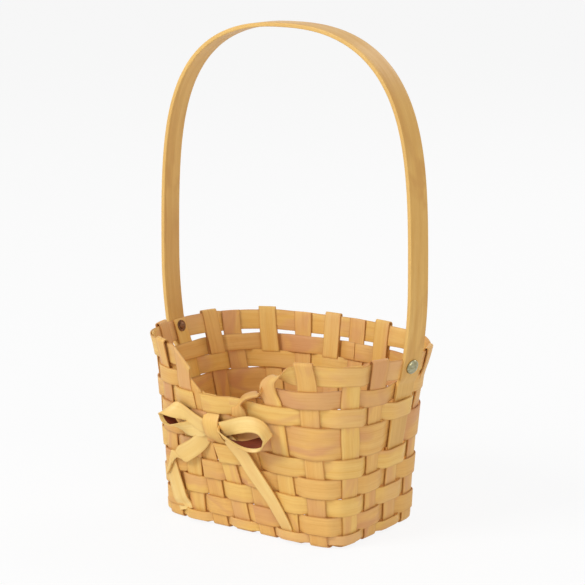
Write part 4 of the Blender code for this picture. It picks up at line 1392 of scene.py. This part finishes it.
# The photograph's camera: turned to the right, looking down, and shifted by a few pixels
CAMERA_TURN = math.radians(36.2)
CAMERA_RISE = math.radians(11.9)
CAMERA_DISTANCE = 1.6297
CAMERA_LENS = 133.8
CAMERA_TARGET = Vector((0, DEPTH_CENTRE, 0.1728))
FRAME_PIXELS = 585
CAMERA_SHIFT_PIXELS = (3.3, 0.3)


def white_to_the_eye(tree, lit, share):
    """Plain white for the camera and in reflections, mixed over what is lit."""
    path = add_node(tree, "ShaderNodeLightPath")
    seen = path.outputs["Is Camera Ray"]
    for ray in ("Is Glossy Ray", "Is Transmission Ray"):
        either = add_node(tree, "ShaderNodeMath", {"operation": "MAXIMUM"},
                          {0: seen, 1: path.outputs[ray]})
        seen = either.outputs[0]
    factor = add_node(tree, "ShaderNodeMath", {"operation": "MULTIPLY"}, {0: seen, 1: share})
    white = add_node(tree, "ShaderNodeEmission", {}, {"Strength": 1.0})
    mix = add_node(tree, "ShaderNodeMixShader", {},
                   {0: factor.outputs[0], 1: lit, 2: white.outputs[0]})
    return mix.outputs[0]


def lay_floor():
    """A wide sheet of matt white paper under the basket."""
    bpy.ops.object.select_all(action="DESELECT")
    bpy.ops.mesh.primitive_plane_add(size=FLOOR_SIZE)
    floor = bpy.context.object
    floor.name = "studio_floor"
    material, tree, shader = new_material("matt_white_paper")
    tree.nodes.remove(shader)
    paper = add_node(tree, "ShaderNodeBsdfDiffuse", {}, {"Color": linear(PAPER_COLOUR)})
    set_inputs(tree, tree.nodes["Material Output"],
               {"Surface": white_to_the_eye(tree, paper.outputs[0], FLOOR_WHITE_SHARE)})
    floor.data.materials.append(material)


def light_studio():
    """Soft light from all round, and three large lamps."""
    world = bpy.data.worlds.new("studio")
    bpy.context.scene.world = world
    world.use_nodes = True
    tree = world.node_tree
    ambient = tree.nodes["Background"]
    set_inputs(tree, ambient, {"Color": linear(WORLD_COLOUR), "Strength": WORLD_STRENGTH})
    set_inputs(tree, tree.nodes["World Output"],
               {"Surface": white_to_the_eye(tree, ambient.outputs[0], WORLD_WHITE_SHARE)})
    for name, place, size, power in LAMPS:
        lamp = bpy.data.lights.new(name, "AREA")
        lamp.size = size
        lamp.energy = power
        item = bpy.data.objects.new(name, lamp)
        item.location = place
        item.rotation_euler = (LAMP_TARGET - Vector(place)).to_track_quat("-Z", "Y").to_euler()
        bpy.context.scene.collection.objects.link(item)


def set_camera():
    """The camera at the photograph's viewing angle."""
    forward = Vector((-math.sin(CAMERA_TURN) * math.cos(CAMERA_RISE),
                      math.cos(CAMERA_TURN) * math.cos(CAMERA_RISE), -math.sin(CAMERA_RISE)))
    lens = bpy.data.cameras.new("camera")
    lens.lens = CAMERA_LENS
    lens.shift_x, lens.shift_y = (pixels / FRAME_PIXELS for pixels in CAMERA_SHIFT_PIXELS)
    camera = bpy.data.objects.new("camera", lens)
    camera.location = CAMERA_TARGET - forward * CAMERA_DISTANCE
    camera.rotation_euler = forward.to_track_quat("-Z", "Y").to_euler()
    bpy.context.scene.collection.objects.link(camera)
    bpy.context.scene.camera = camera


def weave_basket():
    """Every piece of the basket, each in its finish."""
    finishes = {"splint_pale": wood_material(PALE_SPLINT),
                "splint_warm": wood_material(WARM_SPLINT)}
    ribbon = wood_material(RIBBON_SPLINT)
    weave_splints(finishes)
    weave_rows(finishes)
    bend_handle(wood_material(ASH_STRAP))
    set_rivets(metal_material(AGED_NICKEL), metal_material(RUSTED_STEEL))
    tie_loops(ribbon, wood_material(PAINTED_SHADE_INNER_FACE))
    tie_tails(ribbon)


weave_basket()
lay_floor()
light_studio()
set_camera()
bpy.context.scene.view_settings.view_transform = "Standard"
